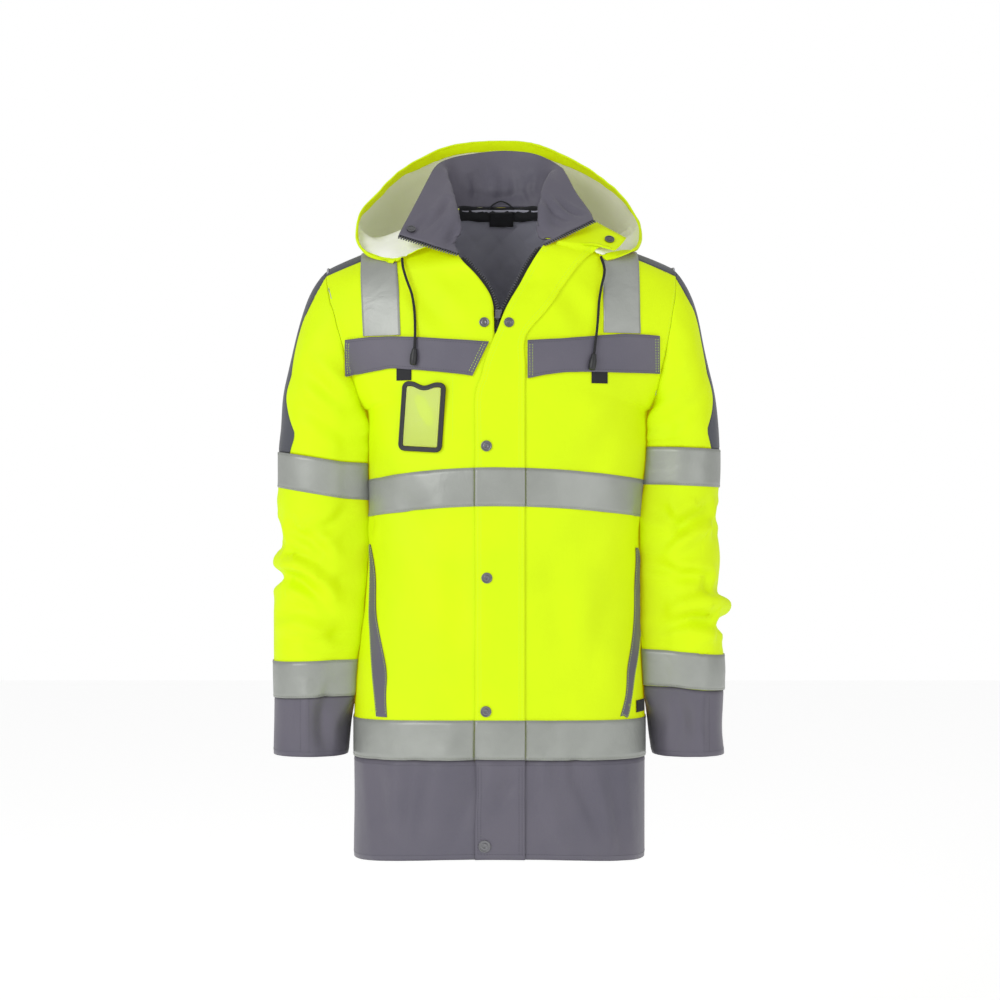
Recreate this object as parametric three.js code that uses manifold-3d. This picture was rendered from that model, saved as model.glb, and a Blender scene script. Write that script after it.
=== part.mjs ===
// A hooded high-visibility work jacket, worn and hollow, with its zip open to a V.
// Millimetres. +X is the wearer's left, -Y the front, +Z up. The origin lies between
// the shoulders, level with the top of the shoulder seams, where the wearer carries it.
import * as THREE from 'three';
import Module from 'manifold-3d';

const wasm = await Module();
wasm.setup();
const { Manifold } = wasm;

const clothWall = 1.6;
const tapeWall = 1;
const flapWall = 1.8;
const collarWall = 2.4;
const hoodWall = 1.6;
const seamGap = 0.18;
const layGap = 0.4;

const shellYellow = new THREE.MeshStandardMaterial({ color: 0xd6f500, roughness: 0.75 });
const shellGrey = new THREE.MeshStandardMaterial({ color: 0x5f5c64, roughness: 0.8 });
const yokeGrey = new THREE.MeshStandardMaterial({ color: 0x484a4f, roughness: 0.8 });
const tapeSilver = new THREE.MeshStandardMaterial({ color: 0xa2a5a0, roughness: 0.5 });
const trimBlack = new THREE.MeshStandardMaterial({ color: 0x1b1c1e, roughness: 0.7 });
const snapMetal = new THREE.MeshStandardMaterial({
  color: 0x6f6f6c, roughness: 0.35, metalness: 0.9,
});
const windowClear = new THREE.MeshStandardMaterial({ color: 0xd9ea5a, roughness: 0.2 });

const jacket = new THREE.Group();

const point = (x, y, z) => new THREE.Vector3(x, y, z);
const toPoint = (a) => new THREE.Vector3(a[0], a[1], a[2]);
const mix = (a, b, t) => a + (b - a) * t;
const blend = (p, q, t) => p.clone().lerp(q, t);
const turn = (degrees) => (degrees * Math.PI) / 180;

function add(name, geometry, material) {
  const mesh = new THREE.Mesh(geometry, material);
  mesh.name = name;
  jacket.add(mesh);
  return mesh;
}

// A grid holds rows of points and the cloth's outward direction at each of them.
function makeGrid(points, { closed = false, flip = false } = {}) {
  const rows = points.length;
  const cols = points[0].length;
  const normals = points.map((row, i) => row.map((p, j) => {
    const before = closed ? row[(j + cols - 1) % cols] : row[Math.max(j - 1, 0)];
    const after = closed ? row[(j + 1) % cols] : row[Math.min(j + 1, cols - 1)];
    const below = points[Math.max(i - 1, 0)][j];
    const above = points[Math.min(i + 1, rows - 1)][j];
    const across = after.clone().sub(before);
    const along = above.clone().sub(below);
    const n = across.cross(along).normalize();
    return flip ? n.negate() : n;
  }));
  return { points, normals, closed };
}

// Two edges that are sewn together share one direction, so their walls meet in a mitre.
function weld(gridA, pickA, gridB, pickB) {
  pickA.forEach(([i, j], k) => {
    const [m, n] = pickB[k];
    const a = gridA.normals[i][j];
    const b = gridB.normals[m][n];
    if (a.dot(b) < 0.25) {
      return;
    }
    const shared = a.clone().add(b).normalize();
    a.copy(shared);
    b.copy(shared);
  });
}

function slice(grid, rowFrom, rowTo, colFrom, colTo) {
  const cut = (table) => {
    const rows = [];
    for (let i = rowFrom; i <= rowTo; i += 1) {
      const row = [];
      for (let j = colFrom; j <= colTo; j += 1) {
        const width = table[i].length;
        row.push(table[i][grid.closed ? ((j % width) + width) % width : j].clone());
      }
      rows.push(row);
    }
    return rows;
  };
  return { points: cut(grid.points), normals: cut(grid.normals), closed: false };
}

function joinRows(...grids) {
  return {
    points: grids.flatMap((g) => g.points),
    normals: grids.flatMap((g) => g.normals),
    closed: grids[0].closed,
  };
}

// Draws a piece's edges in, so that it stays clear of the pieces it is sewn to.
function drawIn(grid, gap, { first = true, last = true, start = true, end = true } = {}) {
  const rows = grid.points.length;
  const cols = grid.points[0].length;
  const points = grid.points.map((row) => row.map((p) => p.clone()));
  const pull = (i, j, m, n) => {
    const way = grid.points[m][n].clone().sub(grid.points[i][j]).setLength(gap);
    points[i][j].add(way);
  };
  for (let j = 0; j < cols; j += 1) {
    if (first) {
      pull(0, j, 1, j);
    }
    if (last) {
      pull(rows - 1, j, rows - 2, j);
    }
  }
  if (!grid.closed) {
    for (let i = 0; i < rows; i += 1) {
      if (start) {
        pull(i, 0, i, 1);
      }
      if (end) {
        pull(i, cols - 1, i, cols - 2);
      }
    }
  }
  return { points, normals: grid.normals, closed: grid.closed };
}

// A cell is split along its shorter diagonal, the same way in every piece that uses it.
function cellTriangles(grid, i, j) {
  const next = grid.closed ? (j + 1) % grid.points[i].length : j + 1;
  const [p, q, r, s] = [[i, j], [i, next], [i + 1, next], [i + 1, j]];
  const spot = ([a, b]) => grid.points[a][b];
  return spot(p).distanceTo(spot(r)) <= spot(q).distanceTo(spot(s))
    ? [[p, q, r], [p, r, s]]
    : [[p, q, s], [q, r, s]];
}

// One closed solid between two offsets of a grid, the cloth's inner and outer face.
function wall(name, grid, from, to, material) {
  const rows = grid.points.length;
  const cols = grid.points[0].length;
  const positions = [];
  [from, to].forEach((offset) => {
    grid.points.forEach((row, i) => row.forEach((p, j) => {
      const q = p.clone().addScaledVector(grid.normals[i][j], offset);
      positions.push(q.x, q.y, q.z);
    }));
  });
  const at = (skin, i, j) => skin * rows * cols + i * cols + (j % cols);
  const index = [];
  const quad = (a, b, c, d) => index.push(a, b, c, a, c, d);
  const spans = grid.closed ? cols : cols - 1;
  for (let i = 0; i < rows - 1; i += 1) {
    for (let j = 0; j < spans; j += 1) {
      cellTriangles(grid, i, j).forEach(([a, b, c]) => {
        index.push(at(1, ...a), at(1, ...b), at(1, ...c));
        index.push(at(0, ...a), at(0, ...c), at(0, ...b));
      });
    }
    if (!grid.closed) {
      const e = cols - 1;
      quad(at(0, i, 0), at(1, i, 0), at(1, i + 1, 0), at(0, i + 1, 0));
      quad(at(0, i, e), at(0, i + 1, e), at(1, i + 1, e), at(1, i, e));
    }
  }
  const t = rows - 1;
  for (let j = 0; j < spans; j += 1) {
    quad(at(0, 0, j), at(0, 0, j + 1), at(1, 0, j + 1), at(1, 0, j));
    quad(at(0, t, j), at(1, t, j), at(1, t, j + 1), at(0, t, j + 1));
  }
  let volume = 0;
  const corner = (k) => point(positions[3 * k], positions[3 * k + 1], positions[3 * k + 2]);
  for (let k = 0; k < index.length; k += 3) {
    const [a, b, c] = [corner(index[k]), corner(index[k + 1]), corner(index[k + 2])];
    volume += a.dot(b.cross(c));
  }
  if (volume < 0) {
    for (let k = 0; k < index.length; k += 3) {
      [index[k + 1], index[k + 2]] = [index[k + 2], index[k + 1]];
    }
  }
  const geometry = new THREE.BufferGeometry();
  geometry.setAttribute('position', new THREE.Float32BufferAttribute(positions, 3));
  geometry.setIndex(index);
  geometry.computeVertexNormals();
  return add(name, geometry, material);
}

// The body

// Rings below the armpit: [centre z, side z, right half, left half, front, back].
const bodyRings = [
  [-859, -872, 201, 199.8, 140, 135],
  [-800, -811, 201, 199.8, 140, 134],
  [-727, -731.4, 201, 199.8, 139, 133],
  [-675.2, -680, 201, 199.8, 138, 132],
  [-612, -620, 198.5, 198, 137, 131],
  [-545, -556, 190.5, 193.5, 136, 130],
  [-465, -478, 183, 193.5, 136, 129],
  [-392, -407, 180, 193.5, 137, 129],
  [-341, -357, 181.5, 199.5, 137, 128.5],
  [-293, -311, 182, 204, 136, 128],
  [-245, -266, 182, 203, 134, 126],
];
const hemRow = 0;
const hemTapeLow = 2;
const hemTapeHigh = 3;
const chestTapeLow = 7;
const chestTapeHigh = 8;
const armpitRow = 10;
const ringSquareness = 2.5;
const zipX = -6.6;

const shoulder = {
  right: { x: -238, z: -65, armpitX: -182, armpitZ: -266 },
  left: { x: 240, z: -64, armpitX: 203, armpitZ: -266 },
};
const armholeBulge = 6;
const armholeDepth = 72;

// 0 degrees is the shoulder point, 90 the front, 180 the armpit and -90 the back.
function armhole(side, degrees) {
  const s = shoulder[side];
  const sign = side === 'right' ? -1 : 1;
  const c = Math.cos(turn(degrees));
  const v = Math.sin(turn(degrees));
  return point(
    mix(s.armpitX, s.x, (1 + c) / 2) + sign * armholeBulge * Math.abs(v),
    -armholeDepth * v,
    mix(s.armpitZ, s.z, (1 + c) / 2),
  );
}

// Front rows from the armpit to the shoulder, 20 degrees of armhole apart:
// [inner x, inner y, inner z, brace inner x, brace outer x, squareness, rise, z power].
const frontRows = {
  right: [
    [-6.6, -134, -245, -127, -165, 2.5, 2.5, 2],
    [-6.6, -133, -222, -128.5, -168, 2.4, 2, 2],
    [-6.6, -132, -198, -130, -174, 2.3, 1.7, 2],
    [-6.6, -130, -165, -132, -181, 2.2, 1.4, 2],
    [-8, -124, -130, -133, -183, 2, 1.25, 2.2],
    [-18, -115, -102, -134.5, -185, 1.8, 1.15, 2.4],
    [-36, -107, -78, -137, -187, 1.4, 1.05, 2.6],
    [-53.6, -98, -58.4, -139, -188.5, 1.1, 1, 2.6],
    [-72, -50, -22, -141, -189.5, 1, 1, 1.5],
    [-80, -5, 0, -142, -190, 1, 1, 1],
  ],
  left: [
    [-6.6, -134, -245, 133, 178, 2.5, 2.5, 2],
    [-6.6, -133, -222, 134.5, 181, 2.4, 2, 2],
    [-6.6, -132, -198, 136, 185, 2.3, 1.7, 2],
    [-6.6, -130, -165, 138, 188, 2.2, 1.4, 2],
    [5, -125, -135, 138, 188, 2, 1.25, 2.2],
    [22, -115, -104, 138, 187.5, 1.8, 1.15, 2.4],
    [40, -106, -70, 138.5, 187.5, 1.4, 1.05, 2.6],
    [57.6, -95, -43.7, 139, 187.5, 1.1, 1, 2.4],
    [72, -50, -20, 140, 187.5, 1, 1, 1.5],
    [80, -5, 0, 141, 188, 1, 1, 1],
  ],
};
const stormEdgeX = 33;
const colBraceIn = 4;
const colBraceOut = 6;
const colSide = 10;
const ringBraceAngles = [38, 62];

function angleForX(x, inner, outer, squareness) {
  const r = Math.min(Math.max((x - inner.x) / (outer.x - inner.x), 0), 1);
  return (Math.asin(r ** (squareness / 2)) * 180) / Math.PI;
}

// A row of cloth from its inner end round to the side seam or armhole.
function bodyRow(inner, outer, braceAngles, squareness, rise, zPower, firstX) {
  const at = (angle) => {
    const r = Math.sin(turn(angle)) ** (2 / squareness);
    const c = Math.max(Math.cos(turn(angle)), 0) ** (2 / rise);
    return point(
      mix(inner.x, outer.x, r),
      mix(outer.y, inner.y, angle >= 90 ? 0 : c),
      mix(inner.z, outer.z, r ** zPower),
    );
  };
  const angleOfX = (x) => angleForX(x, inner, outer, squareness);
  const [braceIn, braceOut] = braceAngles;
  const angles = [0];
  const braceInX = at(braceIn).x;
  angles.push(angleOfX(firstX));
  angles.push(angleOfX(mix(firstX, braceInX, 1 / 3)));
  angles.push(angleOfX(mix(firstX, braceInX, 2 / 3)));
  angles.push(braceIn, angleOfX(mix(braceInX, at(braceOut).x, 0.55)), braceOut);
  [0.3, 0.57, 0.8, 1].forEach((t) => angles.push(mix(braceOut, 90, t)));
  return angles.map(at);
}

function frontPoints(side) {
  const sign = side === 'right' ? -1 : 1;
  const rings = bodyRings.slice(0, armpitRow).map(([zc, zs, right, left, depth]) => {
    const half = side === 'right' ? -right : left;
    const inner = point(zipX, -depth, zc);
    const outer = point(half, 0, zs);
    return bodyRow(inner, outer, ringBraceAngles, ringSquareness, ringSquareness, 2,
      sign * stormEdgeX);
  });
  const upper = frontRows[side].map(([x, y, z, braceIn, braceOut, square, rise, power], k) => {
    const inner = point(x, y, z);
    const outer = armhole(side, 180 - 20 * k);
    const angles = [
      angleForX(braceIn, inner, outer, square), angleForX(braceOut, inner, outer, square),
    ];
    const firstX = k < 3 ? sign * stormEdgeX : mix(x, braceIn, 0.25);
    return bodyRow(inner, outer, angles, square, rise, power, firstX);
  });
  // The last row but one is sewn to the yoke, which is straight there.
  const yokeRow = upper[8];
  [1, 2, 3].forEach((j) => yokeRow[j].copy(blend(yokeRow[0], yokeRow[colBraceIn], j / 4)));
  return [...rings, ...upper];
}

// Back rows, armpit up: [centre y, centre z, brace inner, brace outer, squareness, rise, z power].
const backRows = [
  [126, -252, 127, 165, 2.5, 2.5, 2],
  [125.5, -212, 128.5, 168, 2.4, 2, 2],
  [123, -167, 130, 174, 2.3, 1.7, 2],
  [119, -122, 132, 181, 2.2, 1.4, 2],
  [113, -81, 133, 183, 2, 1.3, 2],
  [104, -41, 134.5, 185, 1.8, 1.2, 1.9],
  [92, -3, 137, 187, 1.7, 1.15, 1.7],
];
// The back's top edge: four points of neckline, then the edge sewn to the yoke.
const backNeck = [[0, 72, 28.5], [33, 67, 28], [56, 54, 25.5], [70, 38, 20]];
const yokeBack = { braceIn: [141, 50, -27], braceOut: [189, 49, -55] };
const yokeMiddle = { neck: [78, 15, 9], braceIn: [142, 24, -27.5], braceOut: [189.5, 24, -49] };

function backPoints(side) {
  const sign = side === 'right' ? -1 : 1;
  const mirror = (a) => point(sign * a[0], a[1], a[2]);
  const rings = bodyRings.slice(0, armpitRow).map(([zc, zs, right, left, , depth]) => {
    const half = side === 'right' ? -right : left;
    const inner = point(0, depth, mix(zs, zc, 0.45));
    const outer = point(half, 0, zs);
    return bodyRow(inner, outer, ringBraceAngles, ringSquareness, ringSquareness, 2,
      sign * stormEdgeX);
  });
  const upper = backRows.map(([y, z, braceIn, braceOut, square, rise, power], k) => {
    const inner = point(0, y, z);
    const outer = armhole(side, -180 + 20 * k);
    const angles = [
      angleForX(sign * braceIn, inner, outer, square),
      angleForX(sign * braceOut, inner, outer, square),
    ];
    return bodyRow(inner, outer, angles, square, rise, power, sign * stormEdgeX);
  });
  const outer = armhole(side, -40);
  const braceIn = mirror(yokeBack.braceIn);
  const braceOut = mirror(yokeBack.braceOut);
  const top = [
    ...backNeck.map(mirror), braceIn, blend(braceIn, braceOut, 0.55), braceOut,
    ...[0.3, 0.57, 0.8, 1].map((t) => blend(braceOut, outer, t)),
  ];
  return [...rings, ...upper, top];
}

function yokePoints(side, front, back) {
  const sign = side === 'right' ? -1 : 1;
  const mirror = (a) => point(sign * a[0], a[1], a[2]);
  const keep = [0, 4, 5, 6, 7, 8, 9, 10];
  const outer = armhole(side, -20);
  const braceIn = mirror(yokeMiddle.braceIn);
  const braceOut = mirror(yokeMiddle.braceOut);
  const middle = [
    mirror(yokeMiddle.neck), braceIn, blend(braceIn, braceOut, 0.55), braceOut,
    ...[0.3, 0.57, 0.8, 1].map((t) => blend(braceOut, outer, t)),
  ];
  return [
    keep.map((j) => front[front.length - 2][j].clone()),
    keep.map((j) => front[front.length - 1][j].clone()),
    middle,
    back[back.length - 1].slice(3).map((p) => p.clone()),
  ];
}

const sides = ['right', 'left'];
const body = {};
sides.forEach((side) => {
  const front = frontPoints(side);
  const back = backPoints(side);
  const yoke = yokePoints(side, front, back);
  body[side] = {
    front: makeGrid(front.slice(0, -1), { flip: side === 'right' }),
    back: makeGrid(back, { flip: side === 'left' }),
    yoke: makeGrid(yoke, { flip: side === 'right' }),
  };
});

const frontTop = body.right.front.points.length - 1;
const backTop = body.right.back.points.length - 1;
sides.forEach((side) => {
  const { front, back, yoke } = body[side];
  const keep = [0, 4, 5, 6, 7, 8, 9, 10];
  weld(front, keep.map((j) => [frontTop, j]), yoke, keep.map((j, k) => [0, k]));
  weld(back, [3, 4, 5, 6, 7, 8, 9, 10].map((j) => [backTop, j]), yoke, keep.map((j, k) => [3, k]));
  for (let i = 0; i <= armpitRow; i += 1) {
    weld(front, [[i, colSide]], back, [[i, colSide]]);
  }
  for (let i = 0; i <= backTop; i += 1) {
    back.normals[i][0].setX(0).normalize();
  }
});

// The sleeves

// [outer x, outer z, inner x, inner z, centre y, half depth, overarm half angle]
const sleeveRows = {
  right: [
    [-238, -65, -182, -266, 0, 72, 20],
    [-256, -88, -185.5, -270, 1, 74, 31],
    [-272, -124, -187.5, -276, 2, 75, 28],
    [-284, -166, -188.5, -284, 3, 75, 24],
    [-293, -207, -189, -294, 4, 74, 34],
    [-300, -245, -189.5, -307, 5, 73, 32],
    [-303, -285, -189.5, -322, 6, 72, 56],
    [-306.5, -317.5, -189.5, -336, 7, 70, 50],
    [-306.5, -366, -189.5, -386, 8, 69, 45],
    [-308.5, -392, -188.5, -408, 8, 68, 40],
    [-300, -436, -187, -445, 7, 65, 40],
    [-309, -465, -190, -473, 6, 68, 40],
    [-306.5, -488, -190, -494, 6, 65, 40],
    [-312, -520, -193.5, -525, 5, 67, 40],
    [-313.5, -560, -197.5, -562, 4, 66, 40],
    [-313.7, -604.8, -202, -601, 3, 64, 40],
    [-312, -655, -203.5, -650, 2, 62, 40],
    [-311.6, -690, -206, -690, 1, 60, 40],
    [-313, -733.5, -210, -733.5, 0, 58, 40],
  ],
  left: [
    [240, -64, 203, -266, 0, 72, 20],
    [256, -86, 207, -270, 1, 74, 31],
    [271, -122, 208, -276, 2, 75, 28],
    [280.5, -164, 208.5, -284, 3, 75, 25],
    [290, -205, 208.5, -292, 4, 74, 33],
    [297.5, -243, 208.5, -300, 5, 73, 31],
    [301.5, -282, 208, -306, 6, 72, 56],
    [303.3, -314.8, 207.5, -311, 7, 70, 48],
    [303.3, -366.5, 204, -362, 8, 69, 45],
    [297.5, -402, 200, -398, 8, 67, 40],
    [302, -438, 199, -434, 7, 66, 40],
    [304.7, -473, 199.5, -468, 6, 66, 40],
    [303.3, -506, 200, -500, 6, 64, 40],
    [313, -530, 201, -522, 5, 67, 40],
    [304.7, -556, 202, -546, 4, 64, 40],
    [309.5, -596.6, 202.5, -586, 3, 64, 40],
    [310, -645.2, 203, -635, 2, 62, 40],
    [306.5, -695, 204.5, -690, 1, 60, 40],
    [309.6, -733.5, 210, -733.5, 0, 58, 40],
  ],
};
const upperBandRows = [7, 8];
const lowerBandRows = [15, 16];
const sleeveSquareness = 2.2;
const sleeveCols = 20;

// Columns run from the overarm's middle round the front, the armpit and the back.
function sleeveAngles(edge) {
  const front = [0, edge / 2];
  for (let k = 0; k <= 8; k += 1) {
    front.push(mix(edge, 180, k / 8));
  }
  const back = front.slice(1, -1).reverse().map((a) => -a);
  return [...front, ...back];
}

function sleevePoints(side) {
  return sleeveRows[side].map(([xo, zo, xi, zi, yc, depth, edge], i) => {
    const angles = sleeveAngles(edge);
    if (i === 0) {
      const ring = angles.map((a) => armhole(side, a));
      ring[1].copy(blend(ring[0], ring[2], 0.5));
      ring[sleeveCols - 1].copy(blend(ring[0], ring[sleeveCols - 2], 0.5));
      return ring;
    }
    const soft = 2 / sleeveSquareness;
    const shape = (v) => Math.sign(v) * Math.abs(v) ** soft;
    return angles.map((a) => {
      const c = shape(Math.cos(turn(a)));
      const v = shape(Math.sin(turn(a)));
      return point(mix(xi, xo, (1 + c) / 2), yc - depth * v, mix(zi, zo, (1 + c) / 2));
    });
  });
}

const sleeve = {};
sides.forEach((side) => {
  sleeve[side] = makeGrid(sleevePoints(side), { closed: true, flip: side === 'right' });
  const { front, back, yoke } = body[side];
  for (let k = 0; k <= 7; k += 1) {
    weld(front, [[armpitRow + k, colSide]], sleeve[side], [[0, 10 - k]]);
    weld(back, [[armpitRow + k, colSide]], sleeve[side], [[0, (10 + k) % sleeveCols]]);
  }
  weld(yoke, [[1, 7]], sleeve[side], [[0, 0]]);
  sleeve[side].normals[0][2].copy(front.normals[frontTop][colSide]);
  sleeve[side].normals[0][18].copy(yoke.normals[2][7]);
  [[1, 0, 2], [19, 0, 18]].forEach(([j, a, b]) => {
    const n = sleeve[side].normals[0];
    n[j].copy(n[a]).add(n[b]).normalize();
  });
});

// The shell's panels

const outerSkin = [-clothWall, 0];

sides.forEach((side) => {
  const { front, yoke } = body[side];
  const panel = drawIn(slice(front, hemTapeLow, frontTop, 0, colSide), seamGap);
  wall(`front_${side}`, panel, ...outerSkin, shellYellow);
  const hem = drawIn(slice(front, hemRow, hemTapeLow, 0, colSide), seamGap);
  wall(`hem_front_${side}`, hem, ...outerSkin, shellGrey);
  wall(`yoke_${side}`, drawIn(yoke, seamGap), ...outerSkin, yokeGrey);
});

function wholeBack(rowFrom, rowTo) {
  const right = slice(body.right.back, rowFrom, rowTo, 0, colSide);
  const left = slice(body.left.back, rowFrom, rowTo, 1, colSide);
  const across = (a, b) => a.map((row, i) => [...row.slice().reverse(), ...b[i]]);
  return {
    points: across(right.points, left.points),
    normals: across(right.normals, left.normals),
    closed: false,
  };
}

wall('back', drawIn(wholeBack(hemTapeLow, backTop), seamGap), ...outerSkin, shellYellow);
wall('hem_back', drawIn(wholeBack(hemRow, hemTapeLow), seamGap), ...outerSkin, shellGrey);

sides.forEach((side) => {
  const grid = sleeve[side];
  const [bandHigh] = upperBandRows;
  const [, cuffRow] = lowerBandRows;
  const last = sleeveRows[side].length - 1;
  const upper = drawIn(slice(grid, 0, bandHigh, 2, 18), seamGap);
  wall(`sleeve_upper_${side}`, upper, ...outerSkin, shellYellow);
  const overarm = drawIn(slice(grid, 0, bandHigh, -2, 2), seamGap);
  wall(`overarm_${side}`, overarm, ...outerSkin, yokeGrey);
  const ring = (rowFrom, rowTo) => {
    const part = slice(grid, rowFrom, rowTo, 0, sleeveCols - 1);
    part.closed = true;
    return part;
  };
  wall(`sleeve_lower_${side}`, drawIn(ring(bandHigh, cuffRow), seamGap), ...outerSkin,
    shellYellow);
  wall(`cuff_${side}`, drawIn(ring(cuffRow, last), seamGap), ...outerSkin, shellGrey);
  const band = [layGap, layGap + tapeWall];
  wall(`sleeve_band_upper_${side}`, ring(...upperBandRows), ...band, tapeSilver);
  wall(`sleeve_band_lower_${side}`, ring(...lowerBandRows), ...band, tapeSilver);
});

// What lies on a panel is made from the panel's own points, moved out.

// The place and outward direction on a grid seen along Y at a given x and z.
function spotOn(grid, x, z) {
  let best = null;
  const { points, normals } = grid;
  const test = (ka, kb, kc) => {
    const [a, b, c] = [ka, kb, kc].map(([i, j]) => points[i][j]);
    const det = (b.x - a.x) * (c.z - a.z) - (c.x - a.x) * (b.z - a.z);
    if (Math.abs(det) < 1e-9) {
      return;
    }
    const u = ((x - a.x) * (c.z - a.z) - (c.x - a.x) * (z - a.z)) / det;
    const v = ((b.x - a.x) * (z - a.z) - (x - a.x) * (b.z - a.z)) / det;
    const miss = Math.max(0, -u, -v, u + v - 1);
    if (best && miss >= best.miss) {
      return;
    }
    const blendOf = (p, q, r) => p.clone().multiplyScalar(1 - u - v)
      .addScaledVector(q, u).addScaledVector(r, v);
    best = {
      miss,
      p: blendOf(a, b, c),
      n: blendOf(...[ka, kb, kc].map(([i, j]) => normals[i][j])).normalize(),
    };
  };
  for (let i = 0; i < points.length - 1; i += 1) {
    for (let j = 0; j < points[i].length - 1; j += 1) {
      cellTriangles(grid, i, j).forEach((cell) => test(...cell));
    }
  }
  return best;
}

// A patch lies at the given places; where the panel bulges between two of them, both rise.
function patchOn(grid, places, way = 1) {
  const spots = places.map((row) => row.map(([x, z]) => ({ ...spotOn(grid, x, z), rise: 0 })));
  const clear = (a, b) => {
    [0.2, 0.4, 0.5, 0.6, 0.8].forEach((t) => {
      const chord = blend(a.p, b.p, t);
      const under = spotOn(grid, chord.x, chord.z);
      const dip = under.p.clone().sub(chord).dot(under.n) * way;
      a.rise = Math.max(a.rise, dip);
      b.rise = Math.max(b.rise, dip);
    });
  };
  spots.forEach((row, i) => row.forEach((spot, j) => {
    [[0, 1], [1, 0], [1, 1], [1, -1]].forEach(([di, dj]) => {
      const other = spots[i + di]?.[j + dj];
      if (other) {
        clear(spot, other);
      }
    });
  }));
  return {
    points: spots.map((row) => row.map((s) => s.p.addScaledVector(s.n, s.rise * way))),
    normals: spots.map((row) => row.map((s) => s.n)),
    closed: false,
  };
}

// Moves points outward until they stand clear of a grid by the given gap.
function keepOff(points, grids, gap) {
  const face = new THREE.Triangle();
  const near = point(0, 0, 0);
  points.forEach((row) => row.forEach((p) => {
    for (let pass = 0; pass < 3; pass += 1) {
      let best = null;
      grids.forEach((grid) => {
        for (let i = 0; i < grid.points.length - 1; i += 1) {
          for (let j = 0; j < grid.points[i].length - 1; j += 1) {
            cellTriangles(grid, i, j).forEach((cell) => {
              face.set(...cell.map(([a, b]) => grid.points[a][b]));
              face.closestPointToPoint(p, near);
              const distance = near.distanceTo(p);
              if (!best || distance < best.distance) {
                const n = face.getNormal(point(0, 0, 0));
                n.multiplyScalar(Math.sign(n.dot(grid.normals[i][j])));
                best = { distance, near: near.clone(), n };
              }
            });
          }
        }
      });
      const height = p.clone().sub(best.near).dot(best.n);
      const beside = Math.sqrt(Math.max(best.distance ** 2 - height ** 2, 0));
      if (beside < 1 && height < gap && height > -30) {
        p.addScaledVector(best.n, gap - height);
      }
    }
  }));
}

function ringOfBody(rowFrom, rowTo) {
  const rows = (side, part, a, b) => slice(body[side][part], rowFrom, rowTo, a, b);
  const pieces = [
    [rows('right', 'front', 1, colSide), false],
    [rows('right', 'back', 0, colSide - 1), true],
    [rows('left', 'back', 1, colSide - 1), false],
    [rows('left', 'front', 1, colSide), true],
  ];
  const across = (key) => pieces[0][0][key].map((_, i) => pieces.flatMap(
    ([g, back]) => (back ? g[key][i].slice().reverse() : g[key][i]),
  ));
  return { points: across('points'), normals: across('normals'), closed: false };
}

const onShell = [layGap, layGap + tapeWall];
wall('chest_tape', drawIn(ringOfBody(chestTapeLow, chestTapeHigh), seamGap, {
  first: false, last: false,
}), ...onShell, tapeSilver);
wall('hem_tape', drawIn(ringOfBody(hemTapeLow, hemTapeHigh), seamGap, {
  first: false, last: false,
}), ...onShell, tapeSilver);

// The storm flap covers the zip up to the V, then lies open beside it.
// Rows above the armpit: [row, free edge x, outer edge x, lift at the free edge, at the outer].
const flapUpper = [
  [11, -25.6, 33, 0, 0],
  [12, -19.5, 33, 0, 0],
  [13, -6.6, 34, 0.2, 0.4],
  [14, 5, 58, 0.5, 0.6],
  [15, 22, 80, 0.5, 0.8],
  [16, 40, 104, 0.5, 4],
  [17, 57.6, 134, 0.8, 8.5],
];
// Past the neck seam it stands free behind the collar: [free edge, outer corner].
const flapTip = [
  [[86, -82, -32], [152, -90, -50]],
  [[112, -44, 4], [170.5, -68, -31]],
];
const flapShares = [0, 0.34, 0.67, 1];

function flapGrid(rowFrom) {
  const points = [];
  const normals = [];
  const { right, left } = { right: body.right.front, left: body.left.front };
  for (let i = rowFrom; i <= armpitRow; i += 1) {
    const half = (table) => [
      table.right[i][1], table.right[i][0],
      blend(table.left[i][0], table.left[i][1], 0.5), table.left[i][1],
    ];
    points.push(half({ right: right.points, left: left.points }).map((p) => p.clone()));
    normals.push(half({ right: right.normals, left: left.normals }).map((n) => (
      n.clone().normalize())));
  }
  flapUpper.forEach(([i, freeX, outerX, freeLift, outerLift]) => {
    const along = (x) => {
      const row = x < zipX ? right : left;
      const k = row.points[i].findIndex((p, j) => j > 0
        && Math.abs(p.x - zipX) >= Math.abs(x - zipX) - 1e-6);
      const [a, b] = [row.points[i][k - 1], row.points[i][k]];
      const t = (x - a.x) / (b.x - a.x);
      return [blend(a, b, t), blend(row.normals[i][k - 1], row.normals[i][k], t).normalize()];
    };
    const spots = flapShares.map((t) => along(mix(freeX, outerX, t)));
    points.push(spots.map(([p, n], j) => p.addScaledVector(
      n, mix(freeLift, outerLift, flapShares[j]))));
    normals.push(spots.map(([, n]) => n));
  });
  const tip = flapTip.map(([a, b]) => flapShares.map((t) => blend(toPoint(a), toPoint(b), t)));
  const tipGrid = makeGrid([points[points.length - 1], ...tip]);
  points.push(...tip);
  normals.push(...tipGrid.normals.slice(1));
  return { points, normals, closed: false };
}

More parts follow.
